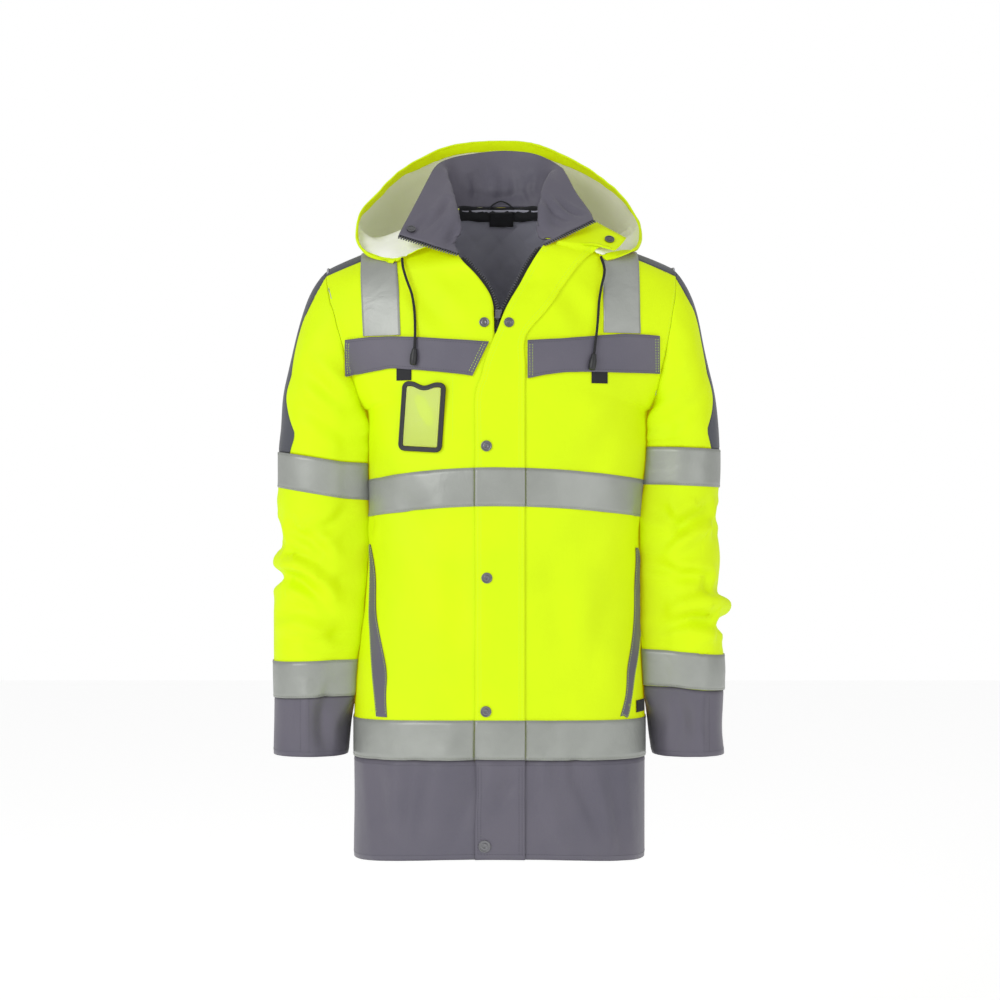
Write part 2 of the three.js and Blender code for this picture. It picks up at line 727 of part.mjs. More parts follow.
const flapFull = flapGrid(hemTapeLow);
const flapHem = slice(flapGrid(hemRow), 0, hemTapeLow, 0, 3);
const onShellFlap = [layGap, layGap + flapWall];
wall('storm_flap', drawIn(flapFull, seamGap, { last: false, start: false, end: false }),
  ...onShellFlap, shellYellow);
wall('storm_flap_hem', drawIn(flapHem, seamGap, { first: false, start: false, end: false }),
  ...onShellFlap, shellGrey);
const onFlap = [2 * layGap + flapWall, 2 * layGap + flapWall + tapeWall];
wall('chest_tape_flap', slice(flapFull, chestTapeLow - hemTapeLow, chestTapeHigh - hemTapeLow,
  0, 3), ...onFlap, tapeSilver);
wall('hem_tape_flap', slice(flapFull, 0, hemTapeHigh - hemTapeLow, 0, 3), ...onFlap, tapeSilver);

// Shoulder braces, from the pocket flaps over the yokes to the back's chest tape.
const braceFootZ = { right: -164.2, left: -160.8 };
const braceFirstZ = { right: -156, left: -152 };
const bracesLift = [0.7, 0.7 + tapeWall];

function columnAtZ(grid, j, z) {
  const i = grid.points.findIndex((row) => row[j].z >= z);
  const [a, b] = [grid.points[i - 1][j], grid.points[i][j]];
  const t = (z - a.z) / (b.z - a.z);
  return [blend(a, b, t), blend(grid.normals[i - 1][j], grid.normals[i][j], t).normalize()];
}

sides.forEach((side) => {
  const { front, back, yoke } = body[side];
  const cols = [colBraceIn, colBraceIn + 1, colBraceOut];
  const rise = slice(front, armpitRow + 5, frontTop, colBraceIn, colBraceOut);
  const foot = [braceFootZ, braceFirstZ].map((z) => cols.map((j) => columnAtZ(front, j, z[side])));
  const start = {
    points: foot.map((row) => row.map(([p]) => p)),
    normals: foot.map((row) => row.map(([, n]) => n)),
  };
  const over = slice(yoke, 1, 2, 1, 3);
  const fall = slice(back, chestTapeHigh, backTop, colBraceIn, colBraceOut);
  fall.points.reverse();
  fall.normals.reverse();
  const brace = drawIn(joinRows(start, rise, over, fall), seamGap, { start: false, end: false });
  wall(`brace_${side}`, brace, ...bracesLift, tapeSilver);
});

// Pocket flaps: [x, top z, bottom z] from the front edge to the armhole.
const pocketFlaps = {
  right: [
    [-14.5, -174.5, -219.5], [-50, -172, -217.5], [-80, -170, -214],
    [-110, -167.5, -211], [-145, -165.5, -208], [-175, -165.5, -212],
    [-207.5, -168, -216],
  ],
  left: [
    [36.5, -172.5, -223], [60, -171, -218], [85, -169.5, -214.6], [110, -167, -213.6],
    [136, -164.5, -213.4], [165, -162, -213.4], [193, -162, -213], [214, -163, -212.5],
  ],
};
const pocketFlapSlant = 22;
const flapTabs = { right: [-137, -117.5, -211.6, -224.5], left: [121.5, 143, -215, -228.5] };
sides.forEach((side) => {
  const table = pocketFlaps[side];
  const slant = side === 'right' ? pocketFlapSlant : 0;
  const rows = [0, 0.5, 1].map((t) => table.map(([x, top, bottom], j) => (
    [j === 0 ? x - slant * t : x, mix(top, bottom, t)])));
  const fine = rows.map((row) => row.flatMap(([x, z], j) => (j === 0 ? [[x, z]] : [
    [mix(row[j - 1][0], x, 0.5), mix(row[j - 1][1], z, 0.5)], [x, z],
  ])));
  wall(`pocket_flap_${side}`, patchOn(body[side].front, fine), ...onShellFlap, shellGrey);
  const [xa, xb, top, low] = flapTabs[side];
  const tab = [top, low].map((z) => [[xa, z], [xb, z]]);
  wall(`flap_tab_${side}`, patchOn(body[side].front, tab), ...onShell, trimBlack);
});

// Side pocket plackets: [z, outer x, inner x].
const plackets = {
  right: [
    [-446, -177.5, -174.5], [-470, -176.5, -170], [-498, -176.5, -167.5], [-530, -176.5, -166.5],
    [-560, -175, -161.5], [-590, -173, -155], [-617, -171, -150.5], [-643, -168, -151.5],
    [-674, -165, -150],
  ],
  left: [
    [-449, 188, 184.5], [-470, 191, 184.5], [-500, 191.5, 181.5], [-530, 191.5, 180],
    [-560, 190.5, 178.5], [-590, 187.5, 174.5], [-615, 182, 170], [-643, 178, 168.5],
    [-674, 172, 161],
  ],
};
sides.forEach((side) => {
  const rows = plackets[side].map(([z, a, b]) => [[a, z], [(a + b) / 2, z], [b, z]]);
  wall(`pocket_placket_${side}`, patchOn(body[side].front, rows), ...onShell, shellGrey);
});
const sideLabel = [[-655, 183, 195], [-671, 183, 195]];
wall('side_label', patchOn(body.left.front, sideLabel.map(([z, a, b]) => [[a, z], [b, z]])),
  ...onShell, trimBlack);

// The neck's lining, loop tapes and bare label, on the back's inner face
const backGrid = wholeBack(hemRow, backTop);
const liningRow = armpitRow;
const underBack = clothWall + layGap;
wall('lining_back', drawIn(wholeBack(liningRow, backTop), seamGap),
  -underBack - tapeWall, -underBack, shellGrey);
const onLining = underBack + tapeWall + 2 * layGap;
const neckTapeX = [-60, -46, -31, -16, 2, 20, 33, 45, 57];
const neckTapeRows = [12.5, 24].map((z) => neckTapeX.map((x) => [x, z]));
wall('neck_tape', patchOn(backGrid, neckTapeRows, -1), -onLining - tapeWall, -onLining, trimBlack);
const labelRows = [6, 26].map((z) => [-15.6, 2, 19.6].map((x) => [x, z]));
const onNeckTape = onLining + tapeWall + layGap;
wall('neck_label', patchOn(backGrid, labelRows, -1), -onNeckTape - tapeWall, -onNeckTape, trimBlack);

// The collar, opened: [neck seam, roll, top edge], from the wearer's right front round the back.
const collarStations = [
  [[-55.5, -100, -54.5], [-95, -92.5, -41], [-136, -85, -27.4]],
  [[-64, -73, -37], [-54, -68, -20], [-125, -63, -2]],
  [[-73, -46, -17.5], [-60, -45, 13], [-113, -35, 26]],
  [[-79, -15, -2.5], [-66.5, -18, 38], [-102, -5, 54]],
  [[-79, 10, 8.5], [-71.5, 10, 62], [-92, 18, 77]],
  [[-72, 34, 20], [-75, 34, 76], [-83, 38, 89]],
  [[-57, 52, 27], [-62, 55, 64], [-66, 58, 99.5]],
  [[-33, 66.5, 29.8], [-36, 71, 68], [-36, 76, 107.5]],
  [[0, 72, 30.2], [0, 78, 70], [0, 86, 112.5]],
  [[33, 66.5, 29.8], [36, 72, 68], [36, 80, 110]],
  [[57, 52, 27], [60, 56, 64], [62, 66, 101]],
  [[72, 34, 20], [74, 35, 74], [82, 38, 85]],
  [[79, 10, 8.5], [66, 5, 60], [93, 16, 66]],
  [[79, -15, -2.5], [58, -22, 32], [104, -4, 42]],
  [[73, -46, -17], [53, -50, 3], [115, -28, 22]],
  [[66, -71, -30], [53.5, -72, -26], [123, -50, 6]],
  [[58, -96, -42], [92, -83, -24], [126.7, -70, -6]],
];
const collarPoints = collarStations.map((station) => {
  const [neck, roll, top] = station.map(toPoint);
  return [
    neck, blend(neck, roll, 0.5), roll,
    blend(roll, top, 0.33), blend(roll, top, 0.67), top,
  ];
});
const collar = makeGrid(collarPoints);
wall('collar', collar, -collarWall, 0, shellGrey);

// The hood hangs open behind: [neck seam, two guide points, rim], right front to centre back.
const hoodStations = [
  [[-67, -82, -40], [-95, -91, -38], [-118, -84, -50], [-140, -79, -62.5]],
  [[-70, -62, -27], [-108, -72, -20], [-148, -75, -78], [-158, -70, -58]],
  [[-78, -38, -9], [-118, -42, -12], [-172, -56, -76], [-181, -52, -46]],
  [[-84, -12, 2.5], [-125, -22, -2], [-190, -40, -72], [-193, -36, -29.5]],
  [[-85, 3, 7], [-135, 0, -2], [-208, -18, -60], [-197, -15, -13.3]],
  [[-82, 22, 14], [-140, 60, -14], [-222, 48, -34], [-193.6, 18, 20]],
  [[-75, 43, 21], [-135, 100, -38], [-225, 90, -22], [-178, 35, 39]],
  [[-62, 58, 27], [-108, 128, -70], [-205, 128, -20], [-156, 52, 67]],
  [[-48, 68, 29], [-84, 138, -92], [-185, 158, -10], [-134, 65, 86]],
  [[-34, 74, 30.5], [-56, 146, -115], [-150, 188, -20], [-106.6, 80, 105]],
  [[-18, 77.5, 31.5], [-30, 148, -130], [-84, 218, -40], [-63, 95, 124]],
  [[0, 78.5, 32], [0, 148, -135], [0, 226, -50], [0, 105, 130.6]],
];
const hoodRimLeft = [
  [142.9, -82, -63], [158.8, -80, -57], [180.4, -70, -45], [189, -44, -31],
  [192.3, -15, -16], [184, 16, 18], [167, 35, 47], [147, 51, 66.5], [124, 64, 85],
  [92, 81, 105], [50, 96, 125],
];
const rimWidth = 17;
const rimWall = 3;
const rimGap = 0.5;
const hoodClear = 5;
const collarClear = 2.8;
const hoodShares = [0, 0.1, 0.22, 0.36, 0.5, 0.64, 0.78];

function hoodSections() {
  const left = hoodStations.slice(0, -1).map((station, k) => {
    const mirrored = station.map(([x, y, z]) => [-x, y, z]);
    mirrored[3] = hoodRimLeft[k];
    return mirrored;
  });
  // The left end lies over the storm flap's tip, so it has its own points.
  left[0] = [[68, -67, -30], [96, -70, -39], [122, -75, -54], hoodRimLeft[0]];
  left[1] = [[70, -62, -27], [108, -75, -21], [145, -82, -58], hoodRimLeft[1]];
  left[2][2] = [171, -62, -58];
  return [...hoodStations, ...left.reverse()].map((station) => {
    const [a, b, c, d] = station.map(toPoint);
    return new THREE.CubicBezierCurve3(a, b, c, d);
  });
}

const hoodCurves = hoodSections();
const hoodEnds = hoodCurves.map((curve) => {
  const length = curve.getLength();
  return Math.max(1 - rimWidth / length, 0.8);
});
const hoodPoints = hoodCurves.map((curve, k) => [
  ...hoodShares.map((t) => curve.getPointAt((t / 0.8) * (hoodEnds[k] - 0.02))),
  curve.getPointAt(hoodEnds[k]), curve.getPointAt((hoodEnds[k] + 1) / 2), curve.getPointAt(1),
]);
const shellGrids = sides.flatMap((side) => [body[side].front, body[side].yoke, body[side].back]);
keepOff(hoodPoints, shellGrids, hoodClear);
keepOff(hoodPoints, [collar], collarClear);
const hoodGrid = makeGrid(hoodPoints);
const hoodLast = hoodCurves.length - 1;
const hoodEndCol = hoodShares.length;
wall('hood', drawIn(slice(hoodGrid, 0, hoodLast, 0, hoodEndCol), rimGap, {
  first: false, last: false, start: false,
}), -hoodWall / 2, hoodWall / 2, shellYellow);
wall('hood_rim', drawIn(slice(hoodGrid, 0, hoodLast, hoodEndCol, hoodEndCol + 2), rimGap, {
  first: false, last: false, end: false,
}), -rimWall / 2, rimWall / 2, shellYellow);

// The zip's tapes lie under the front edges, and stand out beside them in the V.
const zipTapeUnder = [9, 1.5];
const zipTapeOut = [0, 5, 6, 6, 6];
const zipFirstOpenRow = armpitRow + 3;
const zipTapeShort = 0.93;

sides.forEach((side) => {
  const { points, normals } = body[side].front;
  const last = frontTop - 1;
  const rows = { points: [], normals: [] };
  for (let i = 0; i <= last; i += 1) {
    const k = i === last ? [i - 1, i, zipTapeShort] : [i, i, 0];
    const at = (table, j) => blend(table[k[0]][j], table[k[1]][j], k[2]);
    const [edge, inner] = [at(points, 0), at(points, 1)];
    const [n, m] = [at(normals, 0).normalize(), at(normals, 1).normalize()];
    const shares = zipTapeUnder.map((w) => w / edge.distanceTo(inner));
    const along = points[i + 1][0].clone().sub(points[Math.max(i - 1, 0)][0]);
    const out = along.cross(n).normalize();
    out.multiplyScalar(Math.sign(out.dot(edge.clone().sub(inner))));
    const shown = (zipTapeOut[i - zipFirstOpenRow] ?? 0) - layGap;
    rows.points.push([
      ...shares.map((t) => blend(edge, inner, t)), edge.clone().addScaledVector(out, shown),
    ]);
    rows.normals.push([...shares.map((t) => blend(n, m, t).normalize()), n.clone()]);
  }
  wall(`zip_tape_${side}`, rows, -underBack - tapeWall, -underBack, trimBlack);
});

const sliderOutline = [[-6.3, -131.5], [-6.2, -143], [-0.8, -143], [2.4, -135], [2.7, -131.5]];
const sliderBackY = -124.6;
const sliderDepth = 4;
const pullPivot = [-1.7, -129.6, -132.8];
const pull = { half: 2, length: 10.5, thick: 1.4, chamfer: 1, barrel: 0.85, pin: 0.6 };
const ear = { gap: 0.25, thick: 1.2, radius: 1.5, bore: 0.75, root: 1.4, pinDepth: 0.8 };
const pinCorners = 24;

function addSolid(name, solid, material) {
  const { vertProperties, triVerts } = solid.getMesh();
  const geometry = new THREE.BufferGeometry();
  geometry.setAttribute('position', new THREE.BufferAttribute(vertProperties, 3));
  geometry.setIndex(new THREE.BufferAttribute(triVerts, 1));
  return add(name, geometry, material);
}

// A plate drawn in x and z that reaches forward from backY, and a pin along x.
const plate = (outline, backY, depth) => Manifold.extrude([outline], depth)
  .rotate([90, 0, 0]).translate([0, backY, 0]);
const pin = (length, radius, x = 0) => Manifold.cylinder(length, radius, radius, pinCorners, true)
  .rotate([0, 90, 0]).translate([x + pullPivot[0], pullPivot[1], pullPivot[2]]);

// The slider's two ears hold the pin of its pull.
const earAt = pull.half + ear.gap + ear.thick / 2;
const ears = [-earAt, earAt].map((x) => {
  const root = Manifold.cube([ear.thick, ear.root, 2 * ear.radius], true)
    .translate([x + pullPivot[0], pullPivot[1] + ear.root / 2, pullPivot[2]]);
  return pin(ear.thick, ear.radius, x).add(root).subtract(pin(2 * ear.thick, ear.bore, x));
});
addSolid('zip_slider', ears.reduce(
  (whole, one) => whole.add(one), plate(sliderOutline, sliderBackY, sliderDepth),
), snapMetal);

const [pullX, pullY, pullZ] = pullPivot;
const pullLow = pullZ - pull.length;
const pullTab = plate([
  [pullX + pull.half, pullZ], [pullX - pull.half, pullZ],
  [pullX - pull.half, pullLow + pull.chamfer], [pullX - pull.half + pull.chamfer, pullLow],
  [pullX + pull.half - pull.chamfer, pullLow], [pullX + pull.half, pullLow + pull.chamfer],
], pullY + pull.thick / 2, pull.thick);
addSolid('zip_pull', pullTab.add(pin(2 * pull.half, pull.barrel))
  .add(pin(2 * (pull.half + ear.gap + ear.pinDepth), pull.pin)), snapMetal);

// Snaps: [name, grid, x, z, lift from the grid, radius, outward or inward face]
const snapCap = [[0, 0], [1, 0], [1, 0.9], [0.86, 2.1], [0.45, 2.4], [0.36, 1.8], [0, 1.8]];
const snapSides = 16;
const snapSeat = 0.35;
const onFlapFace = layGap + flapWall + snapSeat;
const snaps = [
  ['snap_chest', flapFull, -17.8, -312.7, onFlapFace, 7.2, 1],
  ['snap_waist', flapFull, -17.2, -487, onFlapFace, 7.2, 1],
  ['snap_hip', flapFull, -18.5, -663.3, onFlapFace, 7.2, 1],
  ['snap_hem', flapHem, -20.2, -840.7, onFlapFace, 8, 1],
  ['snap_stud_neck', body.right.front, -20.9, -148.6, snapSeat, 6.6, 1],
  ['snap_flap_neck', flapFull, 11.8, -149.2, onFlapFace, 6.6, 1],
  ['snap_stud_collar', collar, -120, -21, collarWall + snapSeat, 6, -1],
  ['snap_flap_tip', flapFull, 147.3, -34.9, onFlapFace + 0.3, 6.6, 1],
];
snaps.forEach(([name, grid, x, z, lift, radius, way]) => {
  const profile = snapCap.map(([r, h]) => new THREE.Vector2(r * radius, h));
  const { p, n } = spotOn(grid, x, z);
  const mesh = add(name, new THREE.LatheGeometry(profile, snapSides), snapMetal);
  const face = n.clone().multiplyScalar(way);
  mesh.quaternion.setFromUnitVectors(point(0, 1, 0), face);
  mesh.position.copy(p.addScaledVector(face, lift));
});

// The card holder on the chest: a rigid frame with a clear window.
const holder = {
  x: -103, z: -273.5, width: 63, height: 93, rail: 6.6, corner: 5, thick: 2.6, tilt: 3.4,
};
const windowGap = 0.3;
const windowThick = 0.8;

function roundedRect(width, height, corner, Path) {
  const shape = new Path();
  const [w, h] = [width / 2, height / 2];
  shape.moveTo(-w + corner, -h);
  shape.lineTo(w - corner, -h);
  shape.absarc(w - corner, -h + corner, corner, -Math.PI / 2, 0);
  shape.lineTo(w, h - corner);
  shape.absarc(w - corner, h - corner, corner, 0, Math.PI / 2);
  shape.lineTo(-w + corner, h);
  shape.absarc(-w + corner, h - corner, corner, Math.PI / 2, Math.PI);
  shape.lineTo(-w, -h + corner);
  shape.absarc(-w + corner, -h + corner, corner, Math.PI, 1.5 * Math.PI);
  return shape;
}

const holderSeat = spotOn(body.right.front, holder.x, holder.z);
const holderUp = point(0, 0, 1).projectOnPlane(holderSeat.n).normalize()
  .applyAxisAngle(holderSeat.n, turn(-holder.tilt));
const holderAcross = holderUp.clone().cross(holderSeat.n);
const holderBasis = new THREE.Matrix4().makeBasis(holderAcross, holderUp, holderSeat.n);
const seatTests = 4;
let holderLift = 0;
for (let i = -seatTests; i <= seatTests; i += 1) {
  for (let j = -seatTests; j <= seatTests; j += 1) {
    const spot = holderSeat.p.clone()
      .addScaledVector(holderAcross, (holder.width * i) / (2 * seatTests))
      .addScaledVector(holderUp, (holder.height * j) / (2 * seatTests));
    const under = spotOn(body.right.front, spot.x, spot.z).p;
    holderLift = Math.max(holderLift, under.sub(holderSeat.p).dot(holderSeat.n));
  }
}
const holderBase = holderSeat.p.clone().addScaledVector(holderSeat.n, holderLift + layGap);

function onHolder(name, shape, depth, rise, material) {
  const geometry = new THREE.ExtrudeGeometry(shape, {
    depth, bevelEnabled: false, curveSegments: 4,
  });
  const mesh = add(name, geometry, material);
  mesh.quaternion.setFromRotationMatrix(holderBasis);
  mesh.position.copy(holderBase).addScaledVector(holderSeat.n, rise);
}
const holderShape = roundedRect(holder.width, holder.height, holder.corner, THREE.Shape);
const inside = [holder.width - 2 * holder.rail, holder.height - 2 * holder.rail];
holderShape.holes.push(roundedRect(...inside, holder.corner / 2, THREE.Path));
onHolder('card_frame', holderShape, holder.thick, 0, trimBlack);
onHolder('card_window', roundedRect(...inside.map((v) => v - 2 * windowGap),
  holder.corner / 2, THREE.Shape), windowThick, (holder.thick - windowThick) / 2, windowClear);

// A round tube along a smooth curve.
function tube(name, curve, diameter, steps, material, corners = 8) {
  const section = new THREE.Shape();
  section.absarc(0, 0, diameter / 2, 0, 2 * Math.PI);
  const geometry = new THREE.ExtrudeGeometry(section, {
    steps, extrudePath: curve, curveSegments: corners, bevelEnabled: false,
  });
  return add(name, geometry, material);
}

// Drawcords leave the ends of the hood's hem and hang free:
// [x, z, centre's height above the front panel].
const cordDiameter = 3.6;
const cordSeat = 1.7;
const cordRoutes = {
  right: [
    [-127.5, -76, 10], [-123, -92, 7.5], [-116.5, -110, 5.6],
    [-112.8, -134, 4.4], [-111.2, -158, 6], [-111, -172, 7], [-111.4, -184, 7.6],
  ],
  left: [
    [137.5, -80, 9.5], [134, -100, 6.4],
    [131, -120, 5], [129.6, -138, 4.8], [127.5, -158, 6], [124.8, -176, 7], [122.9, -191, 7.6],
  ],
};
const cordStep = 9;
const cordEnd = { right: [-113.2, -206.5], left: [119.2, -211.5] };
const cordEndGap = 0.3;
const cordEndRise = 0.4;
const cordEndCorners = 12;
const cordEndProfile = [[0, 0], [2.6, 0], [3.4, 4], [3.4, 16], [2.4, 20.5], [0, 20.5]];
sides.forEach((side) => {
  const { front } = body[side];
  const place = ([x, z, height]) => {
    const { p, n } = spotOn(front, x, z);
    return p.addScaledVector(n, height);
  };
  const [end, next] = side === 'right' ? [0, 1] : [hoodLast, hoodLast - 1];
  const exit = hoodGrid.points[end][hoodEndCol + 1];
  const out = exit.clone().sub(hoodGrid.points[next][hoodEndCol + 1]).setLength(cordSeat);
  const route = [exit.clone().add(out), ...cordRoutes[side].map(place)];
  const curve = new THREE.CatmullRomCurve3(route, false, 'centripetal');
  const steps = Math.round(curve.getLength() / cordStep);
  tube(`cord_${side}`, curve, cordDiameter, steps, trimBlack);
  const from = curve.getPoint(1);
  const [x, z] = cordEnd[side];
  const to = place([x, z, cordRoutes[side][cordRoutes[side].length - 1][2] + cordEndRise]);
  const profile = cordEndProfile.map(([r, h]) => new THREE.Vector2(r, h));
  const mesh = add(`cord_end_${side}`, new THREE.LatheGeometry(profile, cordEndCorners), trimBlack);
  const way = to.sub(from).normalize();
  mesh.quaternion.setFromUnitVectors(point(0, 1, 0), way);
  mesh.position.copy(from).addScaledVector(way, cordEndGap);
});

// The hanger loop at the back of the neck
const loopRoute = [
  [-14.5, 65.6, 27.8], [-9.5, 65.5, 34], [1.5, 65.3, 38.5], [12.5, 65.5, 34], [17.5, 65.6, 27.8],
];
const loopDiameter = 2.2;
const loopSteps = 12;
const loopCorners = 6;
const loopCurve = new THREE.CatmullRomCurve3(loopRoute.map(toPoint));
tube('hanger_loop', loopCurve, loopDiameter, loopSteps, trimBlack, loopCorners);

export default jacket;
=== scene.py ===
import math
import bpy
import bmesh
import numpy as np
from mathutils import Vector, Matrix
from mathutils.bvhtree import BVHTree
from mathutils.kdtree import KDTree


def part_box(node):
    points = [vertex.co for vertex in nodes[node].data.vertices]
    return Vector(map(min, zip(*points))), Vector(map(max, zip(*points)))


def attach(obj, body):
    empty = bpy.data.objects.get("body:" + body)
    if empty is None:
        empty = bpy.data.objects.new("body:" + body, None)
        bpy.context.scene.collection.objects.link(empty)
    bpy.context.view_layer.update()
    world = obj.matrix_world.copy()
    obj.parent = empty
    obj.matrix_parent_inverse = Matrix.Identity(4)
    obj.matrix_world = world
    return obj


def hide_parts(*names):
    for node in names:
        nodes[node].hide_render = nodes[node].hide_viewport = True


# A worn, hollow, hooded high-visibility work jacket. Metres; +X is the wearer's left,
# -Y the front, +Z up. Sizes in the tables are millimetres.

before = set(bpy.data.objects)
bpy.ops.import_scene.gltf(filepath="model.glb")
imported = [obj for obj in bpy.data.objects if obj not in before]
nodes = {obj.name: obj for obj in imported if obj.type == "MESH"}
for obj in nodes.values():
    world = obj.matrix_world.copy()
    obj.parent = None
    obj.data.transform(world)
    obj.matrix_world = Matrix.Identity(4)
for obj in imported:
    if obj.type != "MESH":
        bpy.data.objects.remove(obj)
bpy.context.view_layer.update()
mm = 0.001
print("frame loaded:", len(nodes), "nodes")

# camera and light
camera = {"distance": 3.0, "height": -0.384, "lens": 78.0, "sensor": 36.0}
light = {"sky": 0.62, "seen": 1.0, "key": 40.0, "fill": 18.0, "floorZ": -1.30,
         "floorGlow": 0.38}

bpy.ops.object.camera_add(location=(0, -camera["distance"], camera["height"]),
                          rotation=(math.pi / 2, 0, 0))
viewCamera = bpy.context.object
viewCamera.data.lens = camera["lens"]
viewCamera.data.sensor_width = camera["sensor"]
bpy.context.scene.camera = viewCamera


def linear(code):
    # an sRGB hex colour as the linear values that a shader reads
    values = [int(code[i:i + 2], 16) / 255 for i in (0, 2, 4)]
    return [v / 12.92 if v <= 0.04045 else ((v + 0.055) / 1.055) ** 2.4 for v in values] + [1.0]


def toVector(p):
    return Vector((p[0] * mm, p[1] * mm, p[2] * mm))


# materials
def addNode(tree, kind, settings=None, links=None, **extra):
    # one node with its attributes, socket values and incoming links
    node = tree.nodes.new(kind)
    for key, value in extra.items():
        setattr(node, key, value)
    for key, value in (settings or {}).items():
        node.inputs[key].default_value = value
    for key, output in (links or {}).items():
        tree.links.new(output, node.inputs[key])
    return node


def newMaterial(name, settings):
    material = bpy.data.materials.new(name)
    material.use_nodes = True
    tree = material.node_tree
    shader = tree.nodes["Principled BSDF"]
    for key, value in settings.items():
        shader.inputs[key].default_value = value
    return material, tree, shader


def wovenCloth(name, base, shade, look):
    # plain weave: threads over and under, a slow change of tone, soft relief
    material, tree, shader = newMaterial(name, {
        "Roughness": look["rough"], "Sheen Weight": look["sheen"], "Sheen Roughness": 0.4,
        "Specular IOR Level": look["gloss"]})
    place = addNode(tree, "ShaderNodeTexCoord")
    spot = addNode(tree, "ShaderNodeTexNoise", {"Scale": look["cloud"], "Detail": 3.0},
                   {"Vector": place.outputs["Object"]})
    ramp = addNode(tree, "ShaderNodeMapRange", {"From Min": 0.35, "From Max": 0.68},
                   {"Value": spot.outputs["Fac"]})
    tone = addNode(tree, "ShaderNodeMix", links={"Factor": ramp.outputs["Result"]},
                   data_type="RGBA")
    tone.inputs["A"].default_value = linear(base)
    tone.inputs["B"].default_value = linear(shade)
    tree.links.new(tone.outputs["Result"], shader.inputs["Base Color"])
    threads = [
        addNode(tree, "ShaderNodeTexWave", {"Scale": look["thread"], "Distortion": 0.6},
                {"Vector": place.outputs["UV"]}, bands_direction=way) for way in ("X", "Y")]
    weave = addNode(tree, "ShaderNodeMath", links={
        0: threads[0].outputs["Fac"], 1: threads[1].outputs["Fac"]}, operation="MULTIPLY")
    fine = addNode(tree, "ShaderNodeBump", {"Strength": look["weave"], "Distance": 0.0004},
                   {"Height": weave.outputs["Value"]})
    rumple = addNode(tree, "ShaderNodeTexNoise", {"Scale": look["rumple"], "Detail": 4.0},
                     {"Vector": place.outputs["Object"]})
    relief = addNode(tree, "ShaderNodeBump", {"Strength": look["relief"], "Distance": 0.004},
                     {"Height": rumple.outputs["Fac"], "Normal": fine.outputs["Normal"]})
    tree.links.new(relief.outputs["Normal"], shader.inputs["Normal"])
    # painted glow: a golden emission that lights the cloth by itself and paints its shaded folds
    # gold
    if look.get("paintedGlow"):  # golden, so that the folds in shadow turn gold and not green
        shader.inputs["Emission Color"].default_value = linear("E6A400")
        shader.inputs["Emission Strength"].default_value = look["paintedGlow"]
    return material


# thread is waves in a metre of UV; the real cloth has three times as many, too fine to show
oxford = {"rough": 0.62, "sheen": 0.15, "gloss": 0.35, "cloud": 9.0, "thread": 190.0,
          "weave": 0.2, "rumple": 22.0, "relief": 0.3}
finishes = {
    # polyester oxford dyed fluorescent; its golden emission is painted light, partly the dye's own
    # glow and partly painted golden shade in its folds, in place of light bounced between yellow
    # parts
    "fluorescent": wovenCloth("fluorescentOxford", "B8E400", "B0DD00", {
        **oxford, "paintedGlow": 0.22, "sheen": 0.0, "gloss": 0.2}),
    "grey": wovenCloth("greyOxford", "5E5B66", "565460", {**oxford, "rough": 0.5, "relief": 0.3}),
    "dark": wovenCloth("slateOxford", "474951", "404249", {**oxford, "rough": 0.55}),
    "lining": wovenCloth("greyLining", "A5A5B1", "9898A5", {**oxford, "rough": 0.45}),
    "pale": wovenCloth("paleCoating", "F0F1EA", "E6E9DC", {**oxford, "weave": 0.05}),
    "webbing": wovenCloth("blackWebbing", "1C1D20", "17181A", {**oxford, "rough": 0.7}),
}


def reflectiveTape():
    # glass beads in a silver film, woven backing; bright streaks where it creases
    material, tree, shader = newMaterial("beadedTape", {
        "Metallic": 0.25, "Roughness": 0.42, "Specular IOR Level": 0.6})
    place = addNode(tree, "ShaderNodeTexCoord")
    cloud = addNode(tree, "ShaderNodeTexNoise", {"Scale": 14.0, "Detail": 5.0},
                    {"Vector": place.outputs["Object"]})
    ramp = addNode(tree, "ShaderNodeMapRange", {"From Min": 0.3, "From Max": 0.75},
                   {"Value": cloud.outputs["Fac"]})
    tone = addNode(tree, "ShaderNodeMix", links={"Factor": ramp.outputs["Result"]},
                   data_type="RGBA")
    tone.inputs["A"].default_value = linear("8A8D88")
    tone.inputs["B"].default_value = linear("9A9D98")
    tree.links.new(tone.outputs["Result"], shader.inputs["Base Color"])
    beads = addNode(tree, "ShaderNodeTexNoise", {"Scale": 900.0, "Detail": 2.0},
                    {"Vector": place.outputs["Object"]})
    grain = addNode(tree, "ShaderNodeBump", {"Strength": 0.25, "Distance": 0.0003},
                    {"Height": beads.outputs["Fac"]})
    creases = addNode(tree, "ShaderNodeTexNoise", {"Scale": 30.0, "Detail": 5.0,
                                                   "Distortion": 0.8},
                      {"Vector": place.outputs["Object"]})
    relief = addNode(tree, "ShaderNodeBump", {"Strength": 0.3, "Distance": 0.004},
                     {"Height": creases.outputs["Fac"], "Normal": grain.outputs["Normal"]})
    tree.links.new(relief.outputs["Normal"], shader.inputs["Normal"])
    return material


def mouldedFinish(name, code, rough, metal, grain):
    # moulded plastic or plated metal, with a fine grain and slight wear
    material, tree, shader = newMaterial(name, {
        "Base Color": linear(code), "Metallic": metal, "Roughness": rough})
    place = addNode(tree, "ShaderNodeTexCoord")
    noise = addNode(tree, "ShaderNodeTexNoise", {"Scale": grain, "Detail": 3.0},
                    {"Vector": place.outputs["Object"]})
    wear = addNode(tree, "ShaderNodeMapRange", {"To Min": rough - 0.08, "To Max": rough + 0.12},
                   {"Value": noise.outputs["Fac"]})
    tree.links.new(wear.outputs["Result"], shader.inputs["Roughness"])
    bump = addNode(tree, "ShaderNodeBump", {"Strength": 0.15, "Distance": 0.0003},
                   {"Height": noise.outputs["Fac"]})
    tree.links.new(bump.outputs["Normal"], shader.inputs["Normal"])
    return material


